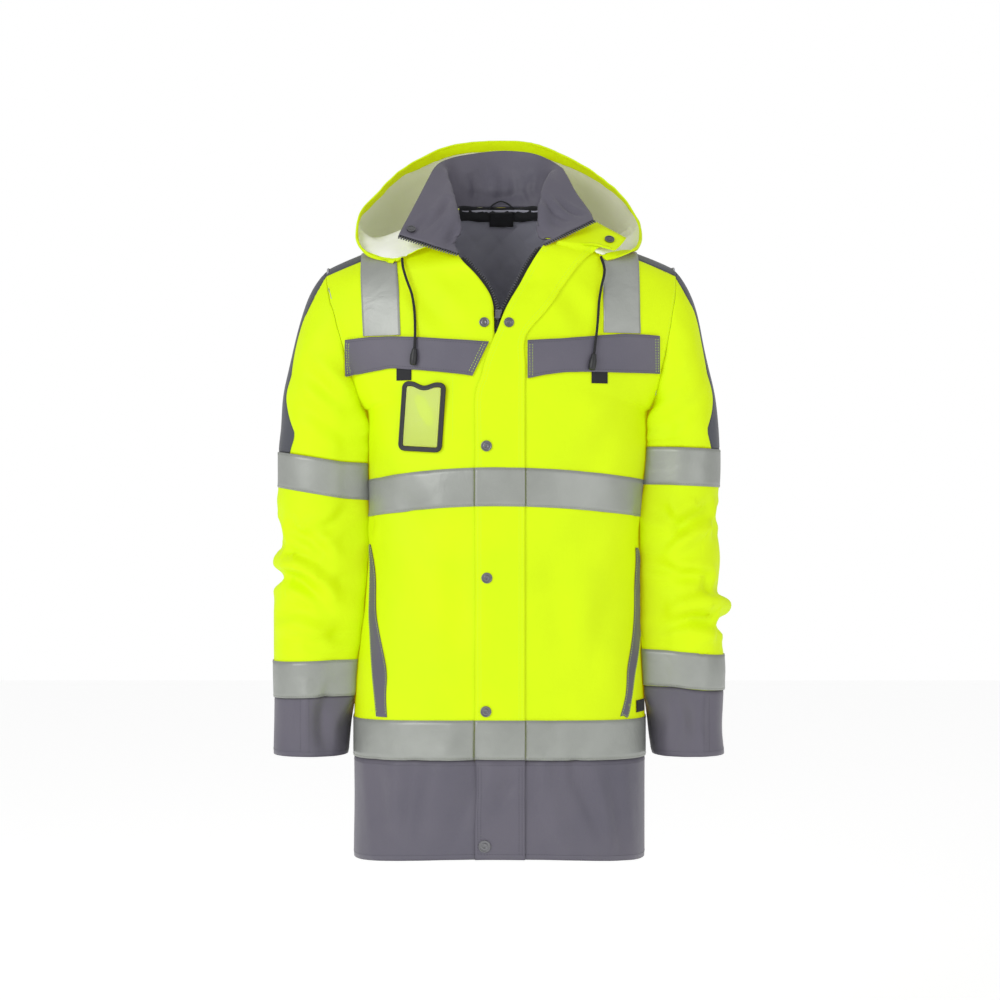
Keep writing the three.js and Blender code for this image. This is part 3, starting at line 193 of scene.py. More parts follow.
finishes["tape"] = reflectiveTape()
finishes["plastic"] = mouldedFinish("blackPlastic", "1B1C1E", 0.42, 0.0, 700.0)
finishes["metal"] = mouldedFinish("gunmetalSnap", "77777A", 0.3, 1.0, 500.0)
finishes["yellowThread"] = mouldedFinish("yellowThread", "C9E83A", 0.7, 0.0, 900.0)
finishes["greyThread"] = mouldedFinish("greyThread", "3E3D45", 0.7, 0.0, 900.0)
finishes["paleThread"] = mouldedFinish("paleThread", "7F8472", 0.7, 0.0, 900.0)
finishes["teeth"] = mouldedFinish("zipTeeth", "4A4A4F", 0.3, 0.0, 900.0)
finishes["window"] = mouldedFinish("clearFilm", "C4D65A", 0.12, 0.0, 60.0)
finishes["window"].node_tree.nodes["Principled BSDF"].inputs["Alpha"].default_value = 0.45
finishes["cord"] = mouldedFinish("blackCord", "17171A", 0.8, 0.0, 1200.0)
print("materials made")

# reading the solids
walls = {"shell": 1.6, "tape": 1.0, "collar": 2.4, "hood": 1.6, "rim": 3.0}


def axisPoint(p):
    # the middle of the body or of the arm that a point belongs to
    if abs(p.x) > 0.19 and p.z < -0.05:
        side = 1 if p.x > 0 else -1
        armX = np.interp(-p.z, [0.06, 0.3, 0.75], [0.2, 0.247, 0.262])
        return Vector((side * armX, 0.002, p.z))
    reach = max(abs(p.x) - 0.06, 0) * math.copysign(1, p.x)
    return Vector((reach, 0, min(p.z, -0.08)))


def skinOf(name, wall, away=axisPoint):
    # the outer face of a closed wall: its thin rim goes, then the inward half
    mesh = bmesh.new()
    mesh.from_mesh(nodes[name].data)
    bmesh.ops.remove_doubles(mesh, verts=mesh.verts, dist=0.00002)
    rim = [f for f in mesh.faces if min(e.calc_length() for e in f.edges) < wall * 1.2 * mm]
    bmesh.ops.delete(mesh, geom=rim, context="FACES")
    islands, seen = [], set()
    for face in mesh.faces:
        if face in seen:
            continue
        island, queue = [], [face]
        seen.add(face)
        while queue:
            f = queue.pop()
            island.append(f)
            for edge in f.edges:
                for other in edge.link_faces:
                    if other not in seen:
                        seen.add(other)
                        queue.append(other)
        islands.append(island)

    def outwardness(island):
        return sum(f.calc_area() * f.normal.dot(f.calc_center_median() -
                                                away(f.calc_center_median())) for f in island)

    total = sum(f.calc_area() for f in mesh.faces)
    kept = max((i for i in islands if sum(f.calc_area() for f in i) > 0.2 * total),
               key=outwardness)
    keep = set(kept)
    bmesh.ops.delete(mesh, geom=[f for f in mesh.faces if f not in keep], context="FACES")
    bmesh.ops.delete(mesh, geom=[v for v in mesh.verts if not v.link_faces], context="VERTS")
    return mesh


def joinSkins(skins):
    # several skins as one surface; material_index keeps the number of the piece
    whole = bmesh.new()
    for number, skin in enumerate(skins):
        copies = [whole.verts.new(v.co) for v in skin.verts]
        skin.verts.index_update()
        for face in skin.faces:
            whole.faces.new([copies[v.index] for v in face.verts]).material_index = number
    bmesh.ops.remove_doubles(whole, verts=whole.verts, dist=0.9 * mm)
    # a seam where one side has more points than the other is stitched up point by point
    edgeVerts = {v for e in whole.edges if e.is_boundary for v in e.verts}
    for vert in list(edgeVerts):
        for edge in [e for e in whole.edges if e.is_boundary]:
            if vert in edge.verts:
                continue
            a, b = edge.verts
            line = b.co - a.co
            t = (vert.co - a.co).dot(line) / line.length_squared
            if 0.05 < t < 0.95 and (a.co + line * t - vert.co).length < 0.6 * mm:
                bmesh.utils.edge_split(edge, a, t)
    open_ = [v for v in whole.verts if v.is_boundary]
    bmesh.ops.remove_doubles(whole, verts=open_, dist=2.6 * mm)
    bmesh.ops.join_triangles(whole, faces=whole.faces, cmp_materials=True,
                             angle_face_threshold=math.radians(50),
                             angle_shape_threshold=math.radians(70))
    whole.normal_update()
    return whole


def toObject(name, mesh):
    data = bpy.data.meshes.new(name)
    mesh.to_mesh(data)
    mesh.free()
    thing = bpy.data.objects.new(name, data)
    bpy.context.scene.collection.objects.link(thing)
    return thing


def applyModifier(thing, kind, **settings):
    bpy.ops.object.select_all(action="DESELECT")
    bpy.context.view_layer.objects.active = thing
    thing.select_set(True)
    modifier = thing.modifiers.new("step", kind)
    for key, value in settings.items():
        setattr(modifier, key, value)
    bpy.ops.object.modifier_apply(modifier=modifier.name)


def refine(thing, levels):
    # smooth it without shrinking: its corners are moved out first, so that the smooth
    # surface passes through where they were
    goal = coordinates(thing.data)
    held = goal.copy()
    for _ in range(4):
        trial = bpy.data.objects.new("trial", thing.data.copy())
        bpy.context.scene.collection.objects.link(trial)
        applyModifier(trial, "SUBSURF", levels=1, render_levels=1,
                      boundary_smooth="PRESERVE_CORNERS")
        held += 0.9 * (goal - coordinates(trial.data)[:len(goal)])
        bpy.data.objects.remove(trial)
        setCoordinates(thing.data, held)
    applyModifier(thing, "SUBSURF", levels=levels, render_levels=levels,
                  boundary_smooth="PRESERVE_CORNERS")


def coordinates(data):
    flat = np.empty(len(data.vertices) * 3)
    data.vertices.foreach_get("co", flat)
    return flat.reshape(-1, 3)


def normalsOf(data):
    flat = np.empty(len(data.vertices) * 3)
    data.vertices.foreach_get("normal", flat)
    return flat.reshape(-1, 3)


def setCoordinates(data, points):
    data.vertices.foreach_set("co", points.reshape(-1))
    data.update()


# creases
# Each: [face, width, depth, points across the face]. A minus depth is a trough; beside it
# the cloth rises. front and back read x and z; right and left are the sleeves' outer
# sides, and read y and z.
creases = [
    # wearer's right sleeve, below the upper band and at the elbow
    ["front", 9, -4.0, [(-303, -420), (-280, -428), (-252, -446), (-228, -470)]],
    ["front", 8, -3.6, [(-306, -448), (-285, -452), (-262, -462), (-240, -480)]],
    ["front", 9, 3.4, [(-308, -474), (-283, -470), (-255, -482), (-222, -512)]],
    ["front", 8, -3.6, [(-309, -490), (-284, -492), (-258, -506), (-232, -532)]],
    ["front", 10, -2.6, [(-300, -538), (-272, -530), (-243, -538), (-215, -552)]],
    ["front", 9, 2.4, [(-306, -560), (-280, -556), (-250, -566), (-222, -588)]],
    ["front", 8, -2.4, [(-212, -400), (-226, -416), (-246, -426), (-268, -430)]],
    ["front", 9, -2.2, [(-210, -562), (-232, -574), (-256, -578)]],
    ["front", 12, -2.2, [(-206, -300), (-228, -282), (-258, -262), (-282, -252)]],
    ["front", 11, -2.0, [(-200, -270), (-222, -246), (-246, -222), (-266, -206)]],
    ["front", 12, 1.8, [(-204, -246), (-222, -222), (-240, -200)]],
    # wearer's left sleeve
    ["front", 9, -3.6, [(302, -395), (280, -398), (256, -410), (232, -432)]],
    ["front", 9, 3.0, [(306, -425), (282, -424), (254, -436), (226, -462)]],
    ["front", 8, -3.2, [(304, -500), (284, -490), (258, -488), (230, -498)]],
    ["front", 10, 3.6, [(312, -528), (290, -520), (264, -520), (236, -530)]],
    ["front", 8, -4.2, [(306, -552), (286, -546), (260, -546), (224, -556)]],
    ["front", 9, 2.2, [(308, -575), (285, -572), (258, -578)]],
    ["front", 8, -2.2, [(218, -392), (232, -412), (252, -424)]],
    ["front", 8, -2.6, [(216, -470), (236, -482), (262, -486)]],
    ["front", 12, -2.2, [(216, -290), (240, -270), (268, -250)]],
    ["front", 11, -1.8, [(212, -262), (232, -238), (256, -214)]],
    # soft slants over the chest and waist
    ["front", 18, -2.0, [(-172, -232), (-140, -262), (-96, -330)]],
    ["front", 20, -1.6, [(-170, -330), (-130, -380), (-90, -450)]],
    ["front", 22, 1.6, [(-176, -420), (-130, -450), (-84, -520)]],
    ["front", 16, -1.6, [(-60, -420), (-52, -500), (-56, -590)]],
    ["front", 20, -1.6, [(60, -430), (78, -520), (96, -620)]],
    ["front", 18, -1.8, [(186, -260), (150, -290), (110, -350)]],
    ["front", 22, 1.6, [(182, -400), (140, -440), (100, -520)]],
    ["front", 18, -1.6, [(176, -480), (140, -540), (116, -620)]],
    ["front", 14, -1.8, [(-120, -90), (-92, -126), (-62, -158)]],
    ["front", 14, -1.6, [(80, -100), (104, -130), (118, -160)]],
    ["front", 10, -1.4, [(30, -105), (46, -88), (52, -80)]],
    # over the hem tape and the grey hem
    ["front", 12, -2.2, [(-28, -700), (-36, -760), (-58, -830)]],
    ["front", 14, 2.0, [(-62, -690), (-80, -760), (-98, -850)]],
    ["front", 13, -2.0, [(-110, -700), (-120, -770), (-130, -850)]],
    ["front", 14, -1.8, [(-168, -720), (-160, -790), (-150, -860)]],
    ["front", 9, -2.2, [(22, -742), (8, -766), (-8, -784)]],
    ["front", 13, 2.0, [(70, -690), (64, -760), (84, -850)]],
    ["front", 11, -2.4, [(96, -720), (110, -770), (138, -830)]],
    ["front", 12, -1.8, [(150, -740), (158, -800), (164, -860)]],
    ["front", 8, -1.4, [(60, -700), (72, -730), (70, -760)]],
    # cuffs
    ["front", 9, -2.2, [(-232, -640), (-240, -680), (-236, -724)]],
    ["front", 10, 1.8, [(-262, -636), (-266, -690), (-260, -728)]],
    ["front", 9, -2.0, [(240, -640), (246, -684), (238, -726)]],
    ["front", 9, 1.8, [(276, -640), (270, -690), (276, -728)]],
    # the back: blades, waist and hem
    ["back", 22, -2.6, [(-150, -120), (-110, -220), (-60, -330)]],
    ["back", 22, -2.4, [(150, -130), (112, -230), (70, -340)]],
    ["back", 24, 2.2, [(-30, -130), (-24, -240), (-30, -360)]],
    ["back", 20, -2.4, [(-170, -420), (-110, -450), (-40, -440)]],
    ["back", 20, -2.2, [(176, -440), (120, -470), (50, -452)]],
    ["back", 22, 2.2, [(-160, -470), (-90, -500), (0, -486)]],
    ["back", 18, -2.0, [(40, -500), (90, -560), (150, -600)]],
    ["back", 16, -2.0, [(-120, -640), (-128, -740), (-140, -860)]],
    ["back", 16, 1.8, [(-60, -650), (-56, -750), (-70, -860)]],
    ["back", 16, -2.2, [(30, -660), (24, -760), (34, -860)]],
    ["back", 16, -2.0, [(120, -650), (134, -750), (128, -860)]],
    ["back", 10, -3.4, [(-306, -430), (-270, -440), (-226, -430)]],
    ["back", 10, 2.8, [(-306, -462), (-270, -474), (-226, -466)]],
    ["back", 10, -3.2, [(-308, -500), (-270, -512), (-226, -508)]],
    ["back", 10, -3.2, [(304, -430), (268, -440), (226, -432)]],
    ["back", 10, 2.8, [(306, -470), (268, -480), (226, -474)]],
    ["back", 10, -3.0, [(306, -545), (268, -556), (228, -550)]],
    ["back", 14, -2.4, [(-204, -270), (-236, -230), (-262, -190)]],
    ["back", 14, -2.4, [(212, -270), (240, -232), (264, -192)]],
    # outer sides of the sleeves
    ["right", 9, -3.4, [(-60, -418), (0, -424), (56, -420)]],
    ["right", 9, -3.2, [(-58, -486), (0, -492), (54, -486)]],
    ["right", 10, 2.4, [(-58, -456), (0, -462), (54, -454)]],
    ["left", 9, -3.2, [(-60, -400), (0, -404), (56, -400)]],
    ["left", 10, 2.6, [(-58, -524), (0, -530), (54, -522)]],
    ["left", 8, -3.6, [(-58, -552), (0, -556), (54, -552)]],
]
creaseLook = {"arm": 2.2, "body": 2.1}  # how deep they are beside the table's figures
faceRays = {
    "front": lambda u, v: (Vector((u * mm, -0.6, v * mm)), Vector((0, 1, 0))),
    "back": lambda u, v: (Vector((u * mm, 0.6, v * mm)), Vector((0, -1, 0))),
    "right": lambda u, v: (Vector((-0.6, u * mm, v * mm)), Vector((1, 0, 0))),
    "left": lambda u, v: (Vector((0.6, u * mm, v * mm)), Vector((-1, 0, 0))),
}


def onFace(tree, face, u, v):
    # the point of a surface that a face's ray meets; just off its edge, the nearest
    start, way = faceRays[face](u, v)
    hit, normal, _, _ = tree.ray_cast(start, way)
    if hit is None:
        middle = Vector((start.x, 0, start.z)) if face in ("front", "back") else Vector(
            (math.copysign(0.26, start.x), start.y, start.z))
        hit, normal, _, _ = tree.find_nearest(middle - way * 0.07)
    return hit, normal


def smoothRoute(points, count):
    # Catmull-Rom through the points
    p = np.array(points, float)
    ends = np.vstack([2 * p[0] - p[1], p, 2 * p[-1] - p[-2]])
    out = []
    for t in np.linspace(0, len(p) - 1 - 1e-9, count):
        i, f = int(t), t - int(t)
        a, b, c, d = ends[i], ends[i + 1], ends[i + 2], ends[i + 3]
        out.append(0.5 * (2 * b + (c - a) * f + (2 * a - 5 * b + 4 * c - d) * f * f
                          + (3 * b - a - 3 * c + d) * f ** 3))
    return np.array(out)


def creaseShift(points, normals, tree, table):
    # how far each point moves along its normal, in metres
    shift = np.zeros(len(points))
    for face, width, depth, places in table:
        hits = [onFace(tree, face, u, v) for u, v in places]
        route = smoothRoute([h for h, _ in hits], 12)
        up = np.mean([list(n) for _, n in hits], axis=0)
        reach = 3.2 * width * mm
        low, high = route.min(0) - reach, route.max(0) + reach
        near = np.all((points > low) & (points < high), axis=1) & (normals @ up > 0.1)
        p = points[near]
        best = np.full(len(p), 1e9)
        side = np.zeros(len(p))
        along = np.zeros(len(p))
        for k in range(len(route) - 1):
            a, line = route[k], route[k + 1] - route[k]
            t = np.clip(((p - a) @ line) / (line @ line), 0, 1)
            off = p - (a + t[:, None] * line)
            distance = np.linalg.norm(off, axis=1)
            closer = distance < best
            best[closer] = distance[closer]
            side[closer] = (off @ np.cross(line, up))[closer]
            along[closer] = ((k + t) / (len(route) - 1))[closer]
        s = np.sign(side) * best / (width * mm)
        fade = np.sin(np.pi * np.clip(0.06 + 0.88 * along, 0, 1)) ** 0.7
        form = np.exp(-s ** 2) - 0.42 * np.exp(-((np.abs(s) - 1.9) / 0.9) ** 2)
        strength = creaseLook["arm"] if abs(route[:, 0].mean()) > 0.2 else creaseLook["body"]
        shift[near] += depth * strength * mm * fade * form
    return shift


def softNoise(points, scale, amount):
    # a slow unevenness, the same on every run
    x, y, z = (points / scale).T
    wave = (np.sin(x + 1.7 * np.sin(0.7 * z + 0.4)) * np.cos(0.8 * y + 0.6 * np.sin(z))
            + 0.6 * np.sin(1.9 * z + 1.3 * np.sin(1.1 * x + y)) + 0.4 * np.sin(2.7 * x - 1.3 * z))
    return wave * amount


# the shell
shellPieces = {
    "front_right": ("fluorescent", "shell_yellow"), "front_left": ("fluorescent", "shell_yellow"),
    "back": ("fluorescent", "shell_yellow"), "hem_front_right": ("grey", "shell_grey"),
    "hem_front_left": ("grey", "shell_grey"), "hem_back": ("grey", "shell_grey"),
    "yoke_right": ("dark", "yoke_grey"), "yoke_left": ("dark", "yoke_grey"),
    "sleeve_upper_right": ("fluorescent", "shell_yellow"),
    "sleeve_upper_left": ("fluorescent", "shell_yellow"),
    "overarm_right": ("dark", "yoke_grey"), "overarm_left": ("dark", "yoke_grey"),
    "sleeve_lower_right": ("fluorescent", "shell_yellow"),
    "sleeve_lower_left": ("fluorescent", "shell_yellow"),
    "cuff_right": ("grey", "shell_grey"), "cuff_left": ("grey", "shell_grey"),
}
shell = {"levels": 3, "unevenScale": 0.045, "uneven": 0.00045, "seamDip": 0.5, "seamGap": 0.15}


def clothUv(thing):
    # real lengths across and along the cloth, so that a weave keeps its size
    data = thing.data
    layer = data.uv_layers.new(name="cloth").data
    points = coordinates(data)
    arm = (np.abs(points[:, 0]) > 0.2) & (points[:, 2] < -0.05)
    centre = np.where(arm, np.sign(points[:, 0]) * 0.25, 0)
    radius = np.where(arm, 0.062, 0.17)
    angle = np.arctan2(points[:, 0] - centre, -points[:, 1])
    for polygon in data.polygons:
        angles = angle[list(polygon.vertices)]
        if angles.max() - angles.min() > math.pi:
            angles = np.where(angles < 0, angles + 2 * math.pi, angles)
        for k, loop in enumerate(polygon.loop_indices):
            v = polygon.vertices[k]
            layer[loop].uv = (angles[k] * radius[v], points[v, 2])


def piecesOf(thing, names):
    # the refined surface cut back into its sewn pieces, one mesh for each
    data = thing.data
    points, normals = coordinates(data), normalsOf(data)
    number = np.empty(len(data.polygons), int)
    data.polygons.foreach_get("material_index", number)
    made = {}
    for i, name in enumerate(names):
        faces = [list(data.polygons[k].vertices) for k in np.nonzero(number == i)[0]]
        used = sorted({v for f in faces for v in f})
        index = {v: k for k, v in enumerate(used)}
        mesh = bpy.data.meshes.new(name)
        mesh.from_pydata([tuple(points[v]) for v in used], [],
                         [[index[v] for v in f] for f in faces])
        made[name] = (mesh, normals[used])
    return made


def drawEdges(mesh, normals, dip, gap):
    # sewn edges lie a little deeper, and a hair apart from their neighbour
    grid = bmesh.new()
    grid.from_mesh(mesh)
    grid.verts.ensure_lookup_table()
    moves = {}
    for v in grid.verts:
        if not v.is_boundary:
            continue
        inner = [e.other_vert(v) for e in v.link_edges if not e.is_boundary]
        way = sum(((o.co - v.co).normalized() for o in inner), Vector((0, 0, 0)))
        move = -Vector(normals[v.index]) * dip * mm
        if way.length > 1e-6:
            move += way.normalized() * gap * mm
        moves[v.index] = move
    for i, move in moves.items():
        grid.verts[i].co += move
    grid.to_mesh(mesh)
    grid.free()


def dress(name, mesh, thickness, outer, inner, rimInside=False, body="jacket"):
    # a thin shell with its own cloth on each face, in place of its solid
    surfaces[name] = (coordinates(mesh), [list(f.vertices) for f in mesh.polygons])
    thing = bpy.data.objects.new(name + "_cloth", mesh)
    bpy.context.scene.collection.objects.link(thing)
    mesh.materials.clear()
    mesh.materials.append(finishes[outer])
    mesh.materials.append(finishes[inner])
    mesh.polygons.foreach_set("material_index", [0] * len(mesh.polygons))
    applyModifier(thing, "SOLIDIFY", thickness=thickness * mm, offset=-1, use_even_offset=False,
                  use_rim=True, material_offset=1, material_offset_rim=1 if rimInside else 0)
    clothUv(thing)
    for polygon in mesh.polygons:
        polygon.use_smooth = True
    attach(thing, body)
    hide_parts(name)
    return thing


# straight cuts that give the front's top edge to the yoke and the sleeve's to the overarm:
# giver, taker, the cut's inner and outer end, lowest point
trims = [
    ["front_right", "yoke_right", (-192, -59), (-238, -78), -95],
    ["front_left", "yoke_left", (190, -58), (238, -77), -95],
    ["sleeve_upper_right", "overarm_right", (-239, -80), (-275, -148), -150],
    ["sleeve_upper_left", "overarm_left", (239, -78), (272, -136), -137],
]
armhole = {"rounds": 24, "rings": 3, "share": 0.5}


def trimPieces(thing):
    grid = bmesh.new()
    grid.from_mesh(thing.data)
    for giver, taker, inner, outer, lowest in trims:
        a = Vector((inner[0] * mm, 0, inner[1] * mm))
        line = Vector((outer[0] * mm, 0, outer[1] * mm)) - a
        up = Vector((-line.z, 0, line.x)) * math.copysign(1, line.x)

        def ofGiver():
            return [f for f in grid.faces if f.material_index == names.index(giver)
                    and f.normal.y < 0.2 and f.calc_center_median().z > lowest * mm]

        faces = ofGiver()
        parts = {e for f in faces for e in f.edges} | {v for f in faces for v in f.verts}
        bmesh.ops.bisect_plane(grid, geom=list(parts) + faces, dist=1e-5, plane_co=a,
                               plane_no=up)
        for f in ofGiver():
            if (f.calc_center_median() - a).dot(up) > 0:
                f.material_index = names.index(taker)
    grid.to_mesh(thing.data)
    grid.free()


def calmArmholes(thing):
    # the sewn line between body and sleeve, and a few rings beside it, made even
    grid = bmesh.new()
    grid.from_mesh(thing.data)
    before = [f.normal.copy() for f in grid.faces]
    bmesh.ops.recalc_face_normals(grid, faces=grid.faces)
    if sum(f.normal.dot(n) > 0 for f, n in zip(grid.faces, before)) < len(before) / 2:
        bmesh.ops.reverse_faces(grid, faces=grid.faces)
    onArm = [name.startswith(("sleeve", "overarm")) for name in names]
    ring = {v for v in grid.verts if len({onArm[f.material_index] for f in v.link_faces}) == 2}
    for _ in range(armhole["rings"]):
        ring |= {e.other_vert(v) for v in ring for e in v.link_edges}
    for _ in range(armhole["rounds"]):
        moved = {v: sum((e.other_vert(v).co for e in v.link_edges), Vector((0, 0, 0)))
                 / len(v.link_edges) for v in ring if not v.is_boundary}
        for v, place in moved.items():
            v.co = v.co.lerp(place, armhole["share"])
    grid.to_mesh(thing.data)
    grid.free()


surfaces = {}  # each cloth's outer surface, which the stitches lie on
names = list(shellPieces)
skins = [skinOf(name, walls["shell"]) for name in names]
joined = joinSkins(skins)
shellBase = toObject("shellBase", joined)
refine(shellBase, shell["levels"])
calmArmholes(shellBase)
trimPieces(shellBase)
basePoints, baseNormals = coordinates(shellBase.data), normalsOf(shellBase.data)
smoothTree = BVHTree.FromPolygons([Vector(p) for p in basePoints],
                                  [list(f.vertices) for f in shellBase.data.polygons])
shift = creaseShift(basePoints, baseNormals, smoothTree, creases)
shift += softNoise(basePoints, shell["unevenScale"], shell["uneven"])
finalPoints = basePoints + baseNormals * shift[:, None]


press = {"top": -0.235, "end": -0.7, "reach": 0.034, "from": 0.004, "gap": 0.001,
         "rounds": 14, "beyond": 0.18, "endFade": 0.06, "topFade": 0.05, "turn": 0.5}
bodyFaces = [list(f.vertices) for f in shellBase.data.polygons
             if names[f.material_index].startswith(("front", "back"))]
bodyTree = BVHTree.FromPolygons([Vector(p) for p in basePoints], bodyFaces)


def smoothStep(value):
    value = np.clip(value, 0, 1)
    return value * value * (3 - 2 * value)


def pressShift(points, normals, edges):
    # how far the inner sides of the sleeves move to lie flat against the body
    amount = np.zeros(len(points))
    for i, (p, n) in enumerate(zip(points, normals)):
        side = math.copysign(1, p[0])
        if abs(p[0]) < press["beyond"] or p[2] > press["top"] or p[2] < press[
                "end"] or n[0] * side > 0:
            continue
        way = Vector((-side, 0, 0))
        hit, _, _, distance = bodyTree.ray_cast(Vector(p) - way * press["from"], way,
                                                press["reach"])
        if hit is not None:
            amount[i] = max(distance - press["from"] - press["gap"], 0)
    for _ in range(press["rounds"]):
        total, count = np.zeros(len(points)), np.zeros(len(points))
        for a, b in ((0, 1), (1, 0)):
            np.add.at(total, edges[:, a], amount[edges[:, b]])
            np.add.at(count, edges[:, a], 1)
        amount = total / np.maximum(count, 1)
    inward = -normals[:, 0] * np.sign(points[:, 0])
    ends = smoothStep((points[:, 2] - press["end"]) / press["endFade"]) * smoothStep(
        (press["top"] - points[:, 2]) / press["topFade"])
    return amount * ends * smoothStep((inward + 0.1) / press["turn"]) * (
        np.abs(points[:, 0]) > press["beyond"])


edgeEnds = np.empty(2 * len(shellBase.data.edges), int)
shellBase.data.edges.foreach_get("vertices", edgeEnds)
pressed = pressShift(basePoints, baseNormals, edgeEnds.reshape(-1, 2))
unpressedTree = KDTree(len(finalPoints))
for i, p in enumerate(finalPoints):
    unpressedTree.insert(p, i)
unpressedTree.balance()
finalPoints[:, 0] -= np.sign(finalPoints[:, 0]) * pressed
setCoordinates(shellBase.data, finalPoints)
finalNormals = normalsOf(shellBase.data)
finalFaces = [list(f.vertices) for f in shellBase.data.polygons]
finalTree = BVHTree.FromPolygons([Vector(p) for p in finalPoints], finalFaces)
print("shell surface:", len(finalFaces), "faces")

for name, (mesh, normals) in piecesOf(shellBase, names).items():
    drawEdges(mesh, normals, shell["seamDip"], shell["seamGap"])
    dress(name, mesh, 1.4, shellPieces[name][0], "lining",
                          rimInside=name == "back")
bpy.data.objects.remove(shellBase)
print("shell dressed")


def smoothSpot(p):
    # nearest point of the creased shell, with a normal blended from the face's corners
    hit, normal, index, _ = finalTree.find_nearest(p)
    corners = finalFaces[index]
    weights = [1 / ((Vector(finalPoints[v]) - hit).length + 1e-5) for v in corners]
    blended = sum((Vector(finalNormals[v]) * w for v, w in zip(corners, weights)),
                  Vector((0, 0, 0))).normalized()
    return hit, blended


# what lies on the shell
# name: [cloth, slot, wall, lowest height, thickness]; heights in mm above the shell
overlays = {
    "chest_tape": ["tape", "tape_silver", 1.0, 1.2, 0.9],
    "hem_tape": ["tape", "tape_silver", 1.0, 1.2, 0.9],
    "sleeve_band_upper_right": ["tape", "tape_silver", 1.0, 1.2, 0.9],
    "sleeve_band_upper_left": ["tape", "tape_silver", 1.0, 1.2, 0.9],
    "sleeve_band_lower_right": ["tape", "tape_silver", 1.0, 1.2, 0.9],
    "sleeve_band_lower_left": ["tape", "tape_silver", 1.0, 1.2, 0.9],
    "brace_right": ["tape", "tape_silver", 1.0, 1.4, 0.9],
    "brace_left": ["tape", "tape_silver", 1.0, 1.4, 0.9],
    "storm_flap": ["fluorescent", "shell_yellow", 1.8, 2.4, 1.6],
    "storm_flap_hem": ["grey", "shell_grey", 1.8, 2.4, 1.6],
    "chest_tape_flap": ["tape", "tape_silver", 1.0, 3.6, 0.9],
    "hem_tape_flap": ["tape", "tape_silver", 1.0, 3.6, 0.9],
    "pocket_flap_right": ["grey", "shell_grey", 1.8, 3.0, 1.8],
    "pocket_flap_left": ["grey", "shell_grey", 1.8, 3.0, 1.8],
    "flap_tab_right": ["webbing", "trim_black", 1.0, 1.4, 0.9],
    "flap_tab_left": ["webbing", "trim_black", 1.0, 1.4, 0.9],
    "pocket_placket_right": ["grey", "shell_grey", 1.0, 1.3, 1.0],
    "pocket_placket_left": ["grey", "shell_grey", 1.0, 1.3, 1.0],
    "side_label": ["webbing", "trim_black", 1.0, 1.4, 0.9],
}
hugging = {"near": 4.5, "beside": 3}
hemFoot = {"reach": 0.008, "drop": 0.0018}
tabRise = 0.006


def hug(thing, low):
    # points close over the shell follow its creases; points that stand free keep their place
    data = thing.data
    points = coordinates(data)
    if "sleeve" in thing.name:
        nearest = [unpressedTree.find(p)[1] for p in points]
        points[:, 0] -= np.sign(points[:, 0]) * pressed[nearest]
    for i, p in enumerate(points):
        spot = Vector(p)
        hit, normal = smoothSpot(spot)
        height = (spot - hit).dot(normal)
        beside = (spot - hit - normal * height).length
        if beside > hugging["beside"] * mm or height > hugging["near"] * mm + low * mm:
            continue
        points[i] = hit + normal * max(low * mm, min(height, (low + 0.4) * mm))
    setCoordinates(data, points)


def flattenFaces(skin):
    bmesh.ops.join_triangles(skin, faces=skin.faces, angle_face_threshold=math.radians(50),
                             angle_shape_threshold=math.radians(70))
    skin.normal_update()


for name, (cloth, slotName, wall, low, thick) in overlays.items():
    skin = skinOf(name, wall)
    flattenFaces(skin)
    thing = toObject(name + "_skin", skin)
    refine(thing, shell["levels"])
    if name.startswith("flap_tab"):  # it reaches up under the flap
        points = coordinates(thing.data)
        high = points[:, 2].max()
        points[:, 2] += np.clip(1 - (high - points[:, 2]) / tabRise, 0, 1) * tabRise
        setCoordinates(thing.data, points)
    if name == "hem_tape":  # it covers the seam under it
        points = coordinates(thing.data)
        foot = points[:, 2].min()
        points[:, 2] -= np.clip(
            1 - (points[:, 2] - foot) / hemFoot["reach"], 0, 1) * hemFoot["drop"]
        setCoordinates(thing.data, points)
    hug(thing, low)
    mesh = thing.data
    bpy.data.objects.remove(thing)
    dress(name, mesh, thick, cloth, cloth)
print("overlays laid:", len(overlays))

# hood and collar
hoodCreases = {"count": 9, "depth": 3.0, "gather": 0.35}
hoodMiddle = Vector((0, 0.115, 0.05))
hoodNames = ["hood", "hood_rim"]
hoodSkins = [skinOf("hood", walls["hood"], lambda p: hoodMiddle),
             skinOf("hood_rim", walls["rim"], lambda p: hoodMiddle)]
hoodBase = toObject("hoodBase", joinSkins(hoodSkins))
refine(hoodBase, 3)
points, normals = coordinates(hoodBase.data), normalsOf(hoodBase.data)
around = np.arctan2(points[:, 0], points[:, 1] - 0.02)
drop = np.clip((0.12 - points[:, 2]) / 0.12, 0, 1) * np.clip((points[:, 2] + 0.03) / 0.04, 0, 1)
ripple = np.sin(around * hoodCreases["count"] + 2.2 * np.sin(around * 2.3 + points[:, 2] * 30))
numbers = np.empty(len(hoodBase.data.polygons), int)
hoodBase.data.polygons.foreach_get("material_index", numbers)
onRim = np.zeros(len(points))
for polygon in hoodBase.data.polygons:
    if numbers[polygon.index] == 1:
        onRim[list(polygon.vertices)] = 1
gather = (np.sin(around * 44 + 3 * np.sin(around * 9)) * hoodCreases["gather"] * mm * onRim
          * np.clip((points[:, 2] + 0.02) / 0.03, 0, 1))
points = points + normals * (ripple * hoodCreases["depth"] * mm * drop * 0.6 + gather)[:, None]
setCoordinates(hoodBase.data, points)
